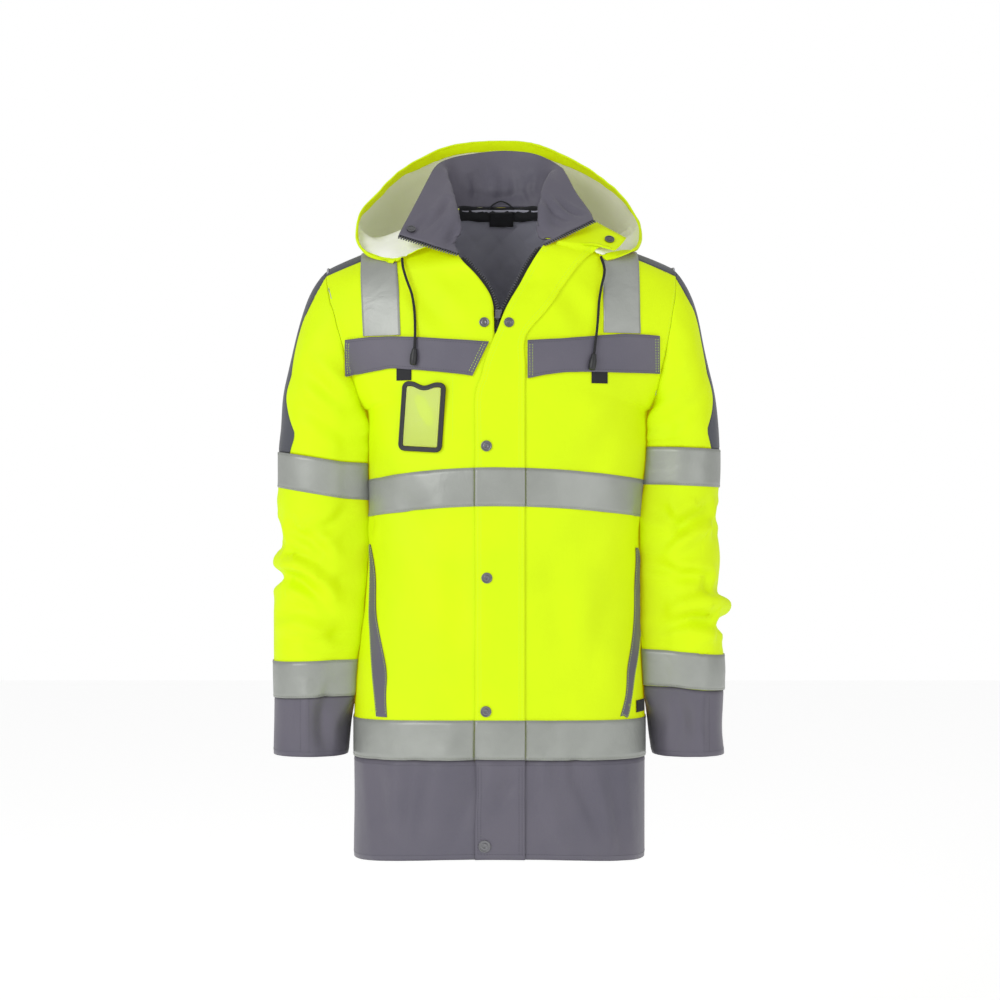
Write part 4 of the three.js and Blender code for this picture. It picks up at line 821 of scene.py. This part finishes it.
for name, (mesh, normals) in piecesOf(hoodBase, hoodNames).items():
    rim = name == "hood_rim"
    drawEdges(mesh, normals, 0.2, 0.15)
    dress(name, mesh, 2.4 if rim else 1.4, "fluorescent",
                          "fluorescent" if rim else "pale")
bpy.data.objects.remove(hoodBase)

# on the collar's grey face, which turns its back to its normals, a plus is a trough
collarCreases = [
    ["front", 5, 1.8, [(-70, 28), (-82, 4), (-104, -22)]],
    ["front", 6, -1.6, [(-62, 16), (-66, -8), (-84, -34)]],
    ["front", 5, 1.6, [(-58, -6), (-66, -26), (-72, -44)]],
    ["front", 4, 1.4, [(-92, 4), (-104, -8), (-116, -24)]],
    ["front", 5, 1.8, [(60, 30), (72, 10), (92, -6)]],
    ["front", 6, -1.6, [(56, 14), (62, -10), (74, -24)]],
    ["front", 5, 1.6, [(80, 26), (94, 10), (110, 0)]],
    ["front", 6, 1.6, [(-40, 72), (-34, 56), (-38, 36)]],
    ["front", 7, -1.4, [(-12, 76), (-8, 58), (-14, 40)]],
    ["front", 6, 1.5, [(18, 74), (20, 56), (14, 42)]],
    ["front", 7, 1.5, [(-46, 50), (-10, 44), (40, 50)]],
    ["front", 5, -1.4, [(44, 70), (40, 54), (46, 40)]],
]
collarSkin = skinOf("collar", walls["collar"], lambda p: Vector((0, 0, p.z)))
flattenFaces(collarSkin)
collarBase = toObject("collarBase", collarSkin)
refine(collarBase, 3)
points, normals = coordinates(collarBase.data), normalsOf(collarBase.data)
collarTree = BVHTree.FromPolygons([Vector(p) for p in points],
                                  [list(f.vertices) for f in collarBase.data.polygons])
points = points + normals * (softNoise(points, 0.016, 0.0006)
                             + creaseShift(points, normals, collarTree, collarCreases)
                             )[:, None]
setCoordinates(collarBase.data, points)
mesh = collarBase.data
bpy.data.objects.remove(collarBase)
dress("collar", mesh, 2.0, "fluorescent", "grey",
                          rimInside=True)
print("hood and collar dressed")

# inside the neck
neckTop = {"reach": 0.007, "rise": 0.009}
innerPieces = {  # name: [cloth, slot, mm off the shell, thickness, mm raised]
    "lining_back": ["lining", "shell_grey", -2.0, 0.9, 0.0],
    "neck_tape": ["webbing", "trim_black", -6.0, 0.9, 0.5],
    "neck_label": ["webbing", "trim_black", -7.4, 0.9, 1.0],
}
for name, (cloth, slotName, height, thick, rise) in innerPieces.items():
    skin = skinOf(name, 1.0)
    flattenFaces(skin)
    thing = toObject(name + "_skin", skin)
    refine(thing, 3)
    data = thing.data
    points = coordinates(data)
    for i, p in enumerate(points):
        hit, normal = smoothSpot(Vector(p))
        level = height
        if name == "lining_back":  # shallow quilting in slanting lines
            for way in (1, -1):
                level += 1.4 * math.exp(-(((hit.x * way + hit.z) / 0.034) % 1 - 0.5) ** 2
                                        / 0.004) - 0.5
        points[i] = hit + normal * level * mm + Vector((0, 0, rise * mm))
    if name == "neck_tape":  # its top runs up over the collar's seam
        fall = points[:, 2].max() - points[:, 2]
        points[:, 2] += np.clip(1 - fall / neckTop["reach"], 0, 1) * neckTop["rise"]
    setCoordinates(data, points)
    mesh = thing.data
    bpy.data.objects.remove(thing)
    dress(name, mesh, thick, cloth, cloth)

# zip tapes, loop
for name in ("zip_tape_right", "zip_tape_left"):
    skin = skinOf(name, 1.0)
    flattenFaces(skin)
    thing = toObject(name + "_skin", skin)
    refine(thing, 2)
    mesh = thing.data
    bpy.data.objects.remove(thing)
    dress(name, mesh, 0.9, "webbing", "webbing")


def tubeAlong(name, route, diameter, finish):
    curve = bpy.data.curves.new(name, "CURVE")
    curve.dimensions = "3D"
    curve.bevel_depth = diameter / 2
    curve.bevel_resolution = 3
    curve.use_fill_caps = True
    spline = curve.splines.new("POLY")
    spline.points.add(len(route) - 1)
    for point, place in zip(spline.points, route):
        point.co = (*toVector(place), 1)
    curve.materials.append(finishes[finish])
    thing = bpy.data.objects.new(name, curve)
    bpy.context.scene.collection.objects.link(thing)
    return thing


loopRoute = smoothRoute([(-14.5, 65.6, 27.8), (-9.5, 65.5, 34), (1.5, 65.3, 38.5),
                         (12.5, 65.5, 34), (17.5, 65.6, 27.8)], 17)
loop = tubeAlong("hanger_loop_cord", loopRoute, 0.0022, "webbing")
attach(loop, "jacket")
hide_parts("hanger_loop")

# stitches
stitch = {"pitch": 3.6, "long": 2.6, "wide": 0.75, "high": 0.4}


def addPiece(name, verts, faces, finish, smooth=False, body="jacket"):
    mesh = bpy.data.meshes.new(name)
    mesh.from_pydata(verts, [], faces)
    mesh.materials.append(finishes[finish])
    for polygon in mesh.polygons:
        polygon.use_smooth = smooth
    thing = bpy.data.objects.new(name, mesh)
    bpy.context.scene.collection.objects.link(thing)
    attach(thing, body)
    return thing


def spaced(route, pitch):
    # evenly spaced places on a line, with the direction of the line at each
    steps = np.linalg.norm(np.diff(route, axis=0), axis=1)
    lengths = np.concatenate([[0], np.cumsum(steps)])
    places = np.arange(pitch / 2, lengths[-1], pitch)
    out = np.stack([np.interp(places, lengths, route[:, k]) for k in range(3)], axis=1)
    ways = np.gradient(out, axis=0) if len(out) > 1 else np.array([route[-1] - route[0]])
    return out, ways / np.linalg.norm(ways, axis=1)[:, None]


def sew(name, routes, finish):
    # each stitch is a small long diamond, half sunk in the cloth
    verts, faces = [], []
    for route, ups in routes:
        if len(route) < 2:
            continue
        places, ways = spaced(route, stitch["pitch"] * mm)
        share = np.linspace(0, len(ups) - 1, len(places)).round().astype(int)
        for p, t, n in zip(places, ways, ups[share]):
            b = np.cross(t, n)
            b /= np.linalg.norm(b)
            k = len(verts)
            verts += [tuple(v) for v in (
                p + t * stitch["long"] / 2 * mm, p - t * stitch["long"] / 2 * mm,
                p + b * stitch["wide"] / 2 * mm, p - b * stitch["wide"] / 2 * mm,
                p + n * stitch["high"] * mm, p - n * stitch["high"] * mm)]
            faces += [[k + a for a in f] for f in (
                (0, 4, 2), (2, 4, 1), (1, 4, 3), (3, 4, 0), (2, 5, 0), (1, 5, 2), (3, 5, 1),
                (0, 5, 3))]
    thing = addPiece(name, verts, faces, finish)
    recalculated = bmesh.new()
    recalculated.from_mesh(thing.data)
    bmesh.ops.recalc_face_normals(recalculated, faces=recalculated.faces)
    recalculated.to_mesh(thing.data)
    recalculated.free()
    return thing


def sidesOf(surface):
    # a cloth's edge, split at its corners: for each side its points and the way inward
    points, faces = surface
    count = {}
    for f in faces:
        for a, b in zip(f, f[1:] + f[:1]):
            count.setdefault(frozenset((a, b)), []).append(f)
    following, inward = {}, {}
    for pair, near in count.items():
        if len(near) == 1:
            a, b = tuple(pair)
            following.setdefault(a, []).append(b)
            following.setdefault(b, []).append(a)
            centre = points[near[0]].mean(0)
            for v in pair:
                inward.setdefault(v, []).append(centre - points[v])
    sides, left = [], set(following)
    while left:
        start = left.pop()
        loop, last = [start], None
        while True:
            nexts = [v for v in following[loop[-1]] if v != last and v in left]
            if not nexts:
                break
            last = loop[-1]
            loop.append(nexts[0])
            left.discard(nexts[0])
        n = len(loop)
        line = points[loop]
        step = max(n // 400, 1)
        before = line - np.roll(line, step, axis=0)
        after = np.roll(line, -step, axis=0) - line
        cosine = np.sum(before * after, axis=1) / (
            np.linalg.norm(before, axis=1) * np.linalg.norm(after, axis=1) + 1e-12)
        corners = [i for i in range(n) if cosine[i] < 0.55]
        cuts = [c for k, c in enumerate(corners) if k == 0 or c - corners[k - 1] > 1]
        spans = list(zip(cuts, cuts[1:] + [cuts[0] + n])) if len(cuts) > 1 else [(0, n)]
        for a, b in spans:
            ids = [loop[i % n] for i in range(a, b + 1)]
            sides.append((points[ids], np.array([np.mean(inward[v], axis=0) for v in ids])))
    return sides


def insetRoutes(surface, insets, pick):
    # lines of stitching at set distances inside the sides that pick chooses
    points, faces = surface
    tree = BVHTree.FromPolygons([Vector(p) for p in points], faces)
    routes = []
    for line, inward in sidesOf(surface):
        length = np.linalg.norm(np.diff(line, axis=0), axis=1).sum()
        if length < 0.02 or not pick(line, length):
            continue
        ways = np.gradient(line, axis=0)
        ways /= np.linalg.norm(ways, axis=1)[:, None] + 1e-12
        for inset in insets:
            across = inward - np.sum(inward * ways, axis=1)[:, None] * ways
            across /= np.linalg.norm(across, axis=1)[:, None] + 1e-12
            hits = [tree.find_nearest(Vector(p + a * inset * mm)) for p, a in zip(line, across)]
            route = np.array([h[0] for h in hits])
            routes.append((route[1:-1], np.array([h[1] for h in hits])[1:-1]))
    return routes


def isAcross(line, length):
    return np.ptp(line[:, 2]) < 0.35 * length


def isDown(line, length):
    return np.ptp(line[:, 2]) > 0.6 * length


def isLowest(line, length):
    return isAcross(line, length) and line[:, 2].mean() < bottomOf["z"]


bottomOf = {"z": -0.7}
tapes = [n for n, facts in overlays.items() if facts[0] == "tape"]
tapeRoutes = []
for name in tapes:
    down = name.startswith("brace")
    tapeRoutes += insetRoutes(surfaces[name], [2.4], isDown if down else isAcross)
sew("tape_stitches", tapeRoutes, "paleThread")
flapRoutes = insetRoutes(surfaces["storm_flap"], [4, 8], isDown)
for side in ("right", "left"):
    flapRoutes += insetRoutes(surfaces["pocket_flap_" + side], [2.8, 6.5], isDown)
    flapRoutes += insetRoutes(surfaces["pocket_placket_" + side], [1.6], isDown)
    flapRoutes += insetRoutes(surfaces["flap_tab_" + side], [4.5], isDown)[:1]
sew("flap_stitches", flapRoutes, "yellowThread")
greyRoutes = insetRoutes(surfaces["storm_flap_hem"], [4, 8], isDown)
for name in ("pocket_flap_right", "pocket_flap_left"):
    greyRoutes += insetRoutes(surfaces[name], [3.5], isAcross)
for name in ("hem_front_right", "hem_front_left", "hem_back", "cuff_right", "cuff_left",
             "storm_flap_hem"):
    greyRoutes += insetRoutes(surfaces[name], [7], isLowest)
for x, low, high in ((-271, -727, -652), (-259, -727, -652), (277, -727, -652),
                     (285, -727, -652)):
    hits = [onFace(finalTree, "front", x, z) for z in np.linspace(low, high, 24)]
    greyRoutes.append((np.array([h for h, _ in hits]), np.array([n for _, n in hits])))
sew("hem_stitches", greyRoutes, "greyThread")
seamRoutes = []
for x, low, high in ((-62.6, -303, -214), (36, -170, -150)):
    hits = [onFace(finalTree, "front", x, z) for z in np.linspace(low, high, 24)]
    seamRoutes.append((np.array([h for h, _ in hits]), np.array([n for _, n in hits])))
for name in ("front_right", "front_left"):
    seamRoutes += insetRoutes(surfaces[name], [3], lambda line, length: isDown(line, length)
                              and length < 0.3 and abs(line[:, 0]).mean() > 0.19)
sew("shell_stitches", seamRoutes, "yellowThread")


def faceRoute(ends, lift=0.0):
    hits = [onFace(finalTree, "front", *(np.array(ends[0]) * (1 - t) + np.array(ends[1]) * t))
            for t in np.linspace(0, 1, 8)]
    return (np.array([h + n * lift * mm for h, n in hits]), np.array([n for _, n in hits]))


# bar tacks at the feet of the pocket strips
sew("bar_tacks", [faceRoute(ends, 2.0) for ends in (
    [(-174, -665.5), (-164, -667)], [(-174, -667), (-164, -668.5)],
    [(171, -658.5), (181, -660)], [(171, -660), (181, -661.5)])], "yellowThread")
print("stitched")

# zip teeth
zipTeeth = {"pitch": 3.6, "long": 2.3, "wide": 4.4, "high": 2.6, "tape": 3.4}
collarEdges = {  # the collar's front edges, and points inside of them
    "right": ([(-55.5, -100, -54.5), (-75.3, -96.3, -47.8), (-95, -92.5, -41),
               (-108.5, -90, -36.5), (-122.5, -87.5, -31.9), (-136, -85, -27.4)],
              [(-64, -73, -37), (-59, -70.5, -28.5), (-54, -68, -20), (-77.4, -66.3, -14.1),
               (-101.6, -64.7, -7.9), (-125, -63, -2)]),
    "left": ([(58, -96, -42), (75, -89.5, -33), (92, -83, -24), (103.5, -78.7, -18.1),
              (115.2, -74.3, -11.9), (126.7, -70, -6)],
             [(66, -71, -30), (59.8, -71.5, -28), (53.5, -72, -26), (76.4, -64.7, -15.4),
              (100.1, -57.3, -4.6), (123, -50, 6)]),
}
openEdges = {  # the outer edges of the zip's tapes in the V, with the cloth's direction
    "right": ([(-6, -130, -143), (-3.5, -124, -129.2), (-13, -114.5, -99.5),
               (-31.6, -106.4, -74.6), (-47.4, -97.8, -57.4)],
              [(-0.04, -0.97, 0.23), (-0.04, -0.97, 0.23), (-0.04, -0.96, 0.29),
               (-0.1, -0.95, 0.29), (-0.17, -0.76, 0.62)]),
    "left": ([(-4, -130, -145), (0.8, -124.7, -133.1), (17, -114.5, -101.5),
              (35.1, -105.7, -67.2), (51.3, -94.8, -43.3)],
             [(0.03, -0.97, 0.22), (0.03, -0.97, 0.22), (0.04, -0.96, 0.26),
              (0.09, -0.96, 0.26), (0.16, -0.73, 0.66)]),
}


def toothRow(verts, faces, route, ups):
    places, ways = spaced(route, zipTeeth["pitch"] * mm)
    share = np.linspace(0, len(ups) - 1, len(places))
    for p, t, k in zip(places, ways, share):
        n = ups[int(round(k))]
        b = np.cross(t, n)
        b /= np.linalg.norm(b)
        first = len(verts)
        # a tooth is narrower at its nose, and its top is smaller than its foot
        for up, size in ((-1, 1.0), (1, 0.72)):
            for along, across in ((-1, -1), (1, -1), (1, 1), (-1, 1)):
                wide = 0.72 if across > 0 else 1.0
                verts.append(tuple(
                    p + t * along * wide * size * zipTeeth["long"] / 2 * mm
                    + b * across * size * zipTeeth["wide"] / 2 * mm
                    + n * up * zipTeeth["high"] / 2 * mm))
        faces += [[first + a for a in f] for f in (
            (3, 2, 1, 0), (4, 5, 6, 7), (0, 1, 5, 4), (1, 2, 6, 5), (2, 3, 7, 6), (3, 0, 4, 7))]


def recalculate(thing):
    grid = bmesh.new()
    grid.from_mesh(thing.data)
    bmesh.ops.recalc_face_normals(grid, faces=grid.faces)
    grid.to_mesh(thing.data)
    grid.free()


for side in ("right", "left"):
    teeth, toothFaces = [], []
    edge, inside = [smoothRoute(np.array(p) * mm, 40) for p in collarEdges[side]]
    ways = np.gradient(edge, axis=0)
    ways /= np.linalg.norm(ways, axis=1)[:, None]
    outwards = edge - inside
    outwards -= np.sum(outwards * ways, axis=1)[:, None] * ways
    outwards /= np.linalg.norm(outwards, axis=1)[:, None]
    ups = np.cross(ways, outwards)
    ups *= np.sign(ups @ np.array([0, -1, 0.3]))[:, None]
    lip = edge + outwards * zipTeeth["tape"] * mm
    toothRow(teeth, toothFaces, lip, ups)
    rows = [edge - outwards * 1.5 * mm, edge + outwards * 1.5 * mm, lip]
    verts = [tuple(p + u * s * 0.45 * mm) for s in (1, -1) for row in rows
             for p, u in zip(row, ups)]
    n = len(edge)
    at = lambda layer, row, i: (layer * 3 + row) * n + i
    faces = []
    for i in range(n - 1):
        for row in range(2):
            faces.append([at(0, row, i), at(0, row + 1, i), at(0, row + 1, i + 1),
                          at(0, row, i + 1)])
            faces.append([at(1, row, i), at(1, row, i + 1), at(1, row + 1, i + 1),
                          at(1, row + 1, i)])
        for row in (0, 2):
            faces.append([at(0, row, i), at(0, row, i + 1), at(1, row, i + 1), at(1, row, i)])
    for i in (0, n - 1):
        faces += [[at(0, r, i), at(1, r, i), at(1, r + 1, i), at(0, r + 1, i)] for r in (0, 1)]
    recalculate(addPiece("collar_zip_tape_" + side, verts, faces, "webbing", True))
    route, directions = [smoothRoute(np.array(p) * k, 40) for p, k in zip(openEdges[side], (mm, 1))]
    toothRow(teeth, toothFaces, route - directions * 2.4 * mm, directions)
    recalculate(addPiece("zip_teeth_" + side, teeth, toothFaces, "teeth"))
print("zip teeth set")

# snaps
snapShape = {"sides": 32, "height": 2.0, "rim": 0.2, "dish": 0.7, "button": 0.55}
snapPlaces = {  # radius, middle of the base, direction
    "snap_chest": (7.2, (-17.9, -138.8, -312.6), (-.036, -.999, .023)),
    "snap_waist": (7.2, (-17.3, -138.4, -487), (-.034, -.999, -.003)),
    "snap_hip": (7.2, (-18.6, -140.2, -663.3), (-.031, -.999, .017)),
    "snap_hem": (8, (-20.3, -142.4, -840.7), (-.034, -.999, .002)),
    "snap_stud_neck": (6.6, (-20.9, -127.1, -148.5), (-.053, -.984, .169)),
    "snap_flap_neck": (6.6, (11.9, -129.9, -148.8), (.044, -.985, .167)),
    "snap_stud_collar": (6, (-119.7, -80.2, -19.2), (.091, -.754, .65)),
    "snap_flap_tip": (6.6, (147.6, -77.9, -33), (.102, -.735, .67)),
}


def pickFaces(thing, test):
    # in edit mode, selects the faces that pass the test and no others
    grid = bmesh.from_edit_mesh(thing.data)
    for face in grid.faces:
        face.select_set(False)
    for face in grid.faces:
        if test(face):
            face.select_set(True)
    bmesh.update_edit_mesh(thing.data)


for name, (radius, place, way) in snapPlaces.items():
    bpy.ops.object.select_all(action="DESELECT")
    bpy.ops.mesh.primitive_cylinder_add(vertices=snapShape["sides"], radius=radius * mm,
                                        depth=snapShape["height"] * mm,
                                        location=(0, 0, snapShape["height"] / 2 * mm))
    cap = bpy.context.object
    cap.name = name + "_cap"
    bpy.ops.object.mode_set(mode="EDIT")
    bpy.ops.mesh.select_mode(type="FACE")
    pickFaces(cap, lambda f: f.normal.z > 0.9)
    bpy.ops.mesh.inset(thickness=radius * snapShape["rim"] * mm)
    bpy.ops.mesh.extrude_region_move(
        TRANSFORM_OT_translate={"value": (0, 0, -snapShape["dish"] * mm)})
    bpy.ops.mesh.inset(thickness=radius * 0.28 * mm)
    bpy.ops.mesh.extrude_region_move(
        TRANSFORM_OT_translate={"value": (0, 0, snapShape["button"] * mm)})
    bpy.ops.mesh.inset(thickness=radius * 0.2 * mm)
    bpy.ops.mesh.extrude_region_move(
        TRANSFORM_OT_translate={"value": (0, 0, -0.35 * mm)})
    bpy.ops.object.mode_set(mode="OBJECT")
    applyModifier(cap, "BEVEL", width=0.28 * mm, segments=2, limit_method="ANGLE")
    turned = Vector((0, 0, 1)).rotation_difference(Vector(way)).to_matrix().to_4x4()
    cap.data.transform(Matrix.Translation(toVector(place)) @ turned
                       @ Matrix.Translation((0, 0, snapShape["height"] / 2 * mm)))
    cap.location = (0, 0, 0)
    cap.data.materials.append(finishes["metal"])
    bpy.ops.object.shade_smooth_by_angle(angle=math.radians(40))
    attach(cap, "jacket")
    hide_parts(name)
print("snaps pressed")

# card holder
holder = {
    "centre": (-103.315, -121.984, -273.472), "across": (.93069, -.36096, -.05928),
    "up": (.06676, .00829, .99773), "out": (-.35966, -.93254, .03182),
    "width": 63.0, "height": 93.0, "rail": 6.6, "corner": 9.0, "dip": 5.0, "dipHalf": 18.0,
    # the rail's section: from its outer edge inwards, and its height
    "section": [(-3.3, 0), (-3.3, 1.5), (-2.7, 2.5), (-1.6, 2.9), (-0.7, 2.4), (0, 1.9),
                (0.7, 2.2), (1.5, 2.7), (2.6, 2.4), (3.3, 1.4), (3.3, 0)],
}
w, h = (holder["width"] - holder["rail"]) / 2, (holder["height"] - holder["rail"]) / 2
r = holder["corner"] - holder["rail"] / 2
outline = []
for cx, cy, start in ((w - r, h - r, 0), (-w + r, h - r, 90), (-w + r, -h + r, 180),
                      (w - r, -h + r, 270)):
    for k in range(7):
        a = math.radians(start + 15 * k)
        outline.append((cx + r * math.cos(a), cy + r * math.sin(a)))
    if start == 0:  # the dip for a thumb in the middle of the top edge
        for k in range(13):
            t = 1 - k / 6
            outline.append((t * holder["dipHalf"],
                            h - holder["dip"] * (0.5 + 0.5 * math.cos(math.pi * t)) ** 0.8))
    if start in (90, 270):
        x = -w if start == 90 else w
        for k in (1, 2, 3):
            outline.append((x, (1 if start == 90 else -1) * (h - r) * (1 - k / 2)))
outline = np.array(outline)
axes = [np.array(holder[k]) for k in ("across", "up", "out")]
rail = np.roll(outline, -1, axis=0) - np.roll(outline, 1, axis=0)
rail /= np.linalg.norm(rail, axis=1)[:, None]
outwards = np.stack([rail[:, 1], -rail[:, 0]], axis=1)
verts = []
for (x, y), (a, b) in zip(outline, outwards):
    for u, v in holder["section"]:
        p = np.array(holder["centre"]) + (x - a * u) * axes[0] + (y - b * u) * axes[1] + v * axes[2]
        verts.append(tuple(p * mm))
n, m = len(outline), len(holder["section"])
faces = [[i * m + j, ((i + 1) % n) * m + j, ((i + 1) % n) * m + (j + 1) % m, i * m + (j + 1) % m]
         for i in range(n) for j in range(m)]
cardFrame = addPiece("card_frame_moulding", verts, faces, "plastic", True)
recalculate(cardFrame)
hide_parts("card_frame")
print("card holder made")

# cord ends
cordEnds = {
    "sides": 24,
    # half of its outline, from the cord down: radius and length
    "profile": [(1.9, -1.0), (2.9, -0.6), (3.4, 0.6), (3.6, 3), (4.4, 6), (4.9, 9), (5.0, 14),
                (4.8, 18), (4.2, 20.4), (3.1, 21.2), (2.7, 20.6), (2.5, 18.5), (0.001, 18.2)],
}


def cordEnd(side, start):
    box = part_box("cord_end_" + side)
    middle = (Vector(box[0]) + Vector(box[1])) / 2
    way = (middle - start).normalized()
    sides, profile = cordEnds["sides"], cordEnds["profile"]
    verts = [(r * math.cos(2 * math.pi * k / sides) * mm, r * math.sin(2 * math.pi * k / sides) * mm,
              z * mm) for r, z in [(0.001, -1.0)] + profile for k in range(sides)]
    faces = [[i * sides + k, i * sides + (k + 1) % sides, (i + 1) * sides + (k + 1) % sides,
              (i + 1) * sides + k] for i in range(len(profile)) for k in range(sides)]
    thing = addPiece("cord_end_" + side + "_lock", verts, faces, "plastic", True)
    grid = bmesh.new()
    grid.from_mesh(thing.data)
    bmesh.ops.remove_doubles(grid, verts=grid.verts, dist=0.02 * mm)
    bmesh.ops.recalc_face_normals(grid, faces=grid.faces)
    grid.to_mesh(thing.data)
    grid.free()
    turned = Vector((0, 0, 1)).rotation_difference(way).to_matrix().to_4x4()
    thing.data.transform(Matrix.Translation(start) @ turned)
    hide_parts("cord_end_" + side)
    return thing

# cords
cordFacts = {"diameter": 0.0036, "end": "fitting"}
cordRoutes = {
    "right": [
        (-131.7, -81.1, -58.6), (-131.3, -87.3, -63.3), (-130.7, -93.2, -68.1),
        (-129.5, -97.6, -74.2), (-127.5, -100.2, -81.1), (-125.3, -102.3, -88.2),
        (-122.8, -104.8, -95), (-120.1, -107.2, -101.7), (-117.8, -109.3, -108.7),
        (-116.2, -111.1, -116), (-115, -112.6, -123.5), (-114.1, -114.1, -130.9),
        (-113.5, -115.8, -138.4), (-113.1, -117.6, -145.8), (-112.9, -119.4, -153.3),
        (-112.8, -121, -160.8), (-112.9, -122.4, -168.3), (-113.2, -123.4, -175.9),
        (-113.6, -124, -183.6)],
    "left": [
        (135.9, -85.6, -57), (137.5, -90.3, -63.1), (139.2, -95.1, -69.2),
        (140.1, -99.1, -75.9), (139.3, -101.5, -83.4), (137.4, -102.6, -90.9),
        (135.6, -103.9, -98.5), (134.2, -105.7, -106.1), (133, -107.7, -113.6),
        (132, -109.4, -121.2), (131.4, -111, -129), (130.9, -112.6, -136.7),
        (130.3, -114.4, -144.3), (129.6, -116.3, -152), (128.8, -117.9, -159.7),
        (127.8, -119.1, -167.4), (126.7, -120.1, -175.1), (125.9, -121.1, -182.9),
        (125, -122, -190.7)],
}
for side, route in cordRoutes.items():
    cord = tubeAlong("cord_" + side + "_line", route, cordFacts["diameter"], "cord")
    end = cordEnd(side, toVector(route[-1]))
    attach(cord, "jacket")
    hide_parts("cord_" + side)
print("cords hung")

# hard pieces
hardFinish = {"zip_slider": "metal", "zip_pull": "metal", "card_window": "window"}
for name, node in nodes.items():
    for start, finish in hardFinish.items():
        if name.startswith(start):
            node.data.materials.clear()
            node.data.materials.append(finishes[finish])

# stage
bpy.ops.mesh.primitive_plane_add(size=16, location=(0, 0, light["floorZ"]))
floor = bpy.context.object
floor.name = "floor"
floorPaint, _, _ = newMaterial("paleFloor", {
    "Base Color": linear("F7F7F7"), "Roughness": 0.9, "Emission Color": (1, 1, 1, 1),
    "Emission Strength": light["floorGlow"]})
floor.data.materials.append(floorPaint)
world = bpy.data.worlds.new("studio")
bpy.context.scene.world = world
world.use_nodes = True
# the wall of the studio is white to the eye, and sends the jacket a softer light
ray = addNode(world.node_tree, "ShaderNodeLightPath")
level = addNode(world.node_tree, "ShaderNodeMapRange", {"To Min": light["sky"],
                                                        "To Max": light["seen"]},
                {"Value": ray.outputs["Is Camera Ray"]})
world.node_tree.links.new(level.outputs["Result"],
                          world.node_tree.nodes["Background"].inputs["Strength"])
world.node_tree.nodes["Background"].inputs["Color"].default_value = (1, 1, 1, 1)
for name, power, size, place in (("keyLight", light["key"], 1.6, (-1.9, -2.3, 0.7)),
                                 ("fillLight", light["fill"], 2.4, (2.0, -2.2, 0.2))):
    bpy.ops.object.light_add(type="AREA", location=place)
    lamp = bpy.context.object
    lamp.name = name
    lamp.data.energy = power
    lamp.data.size = size
    lamp.rotation_euler = (Vector((0, 0, -0.4)) - Vector(place)).to_track_quat("-Z", "Y").to_euler()
bpy.context.scene.view_settings.view_transform = "Standard"
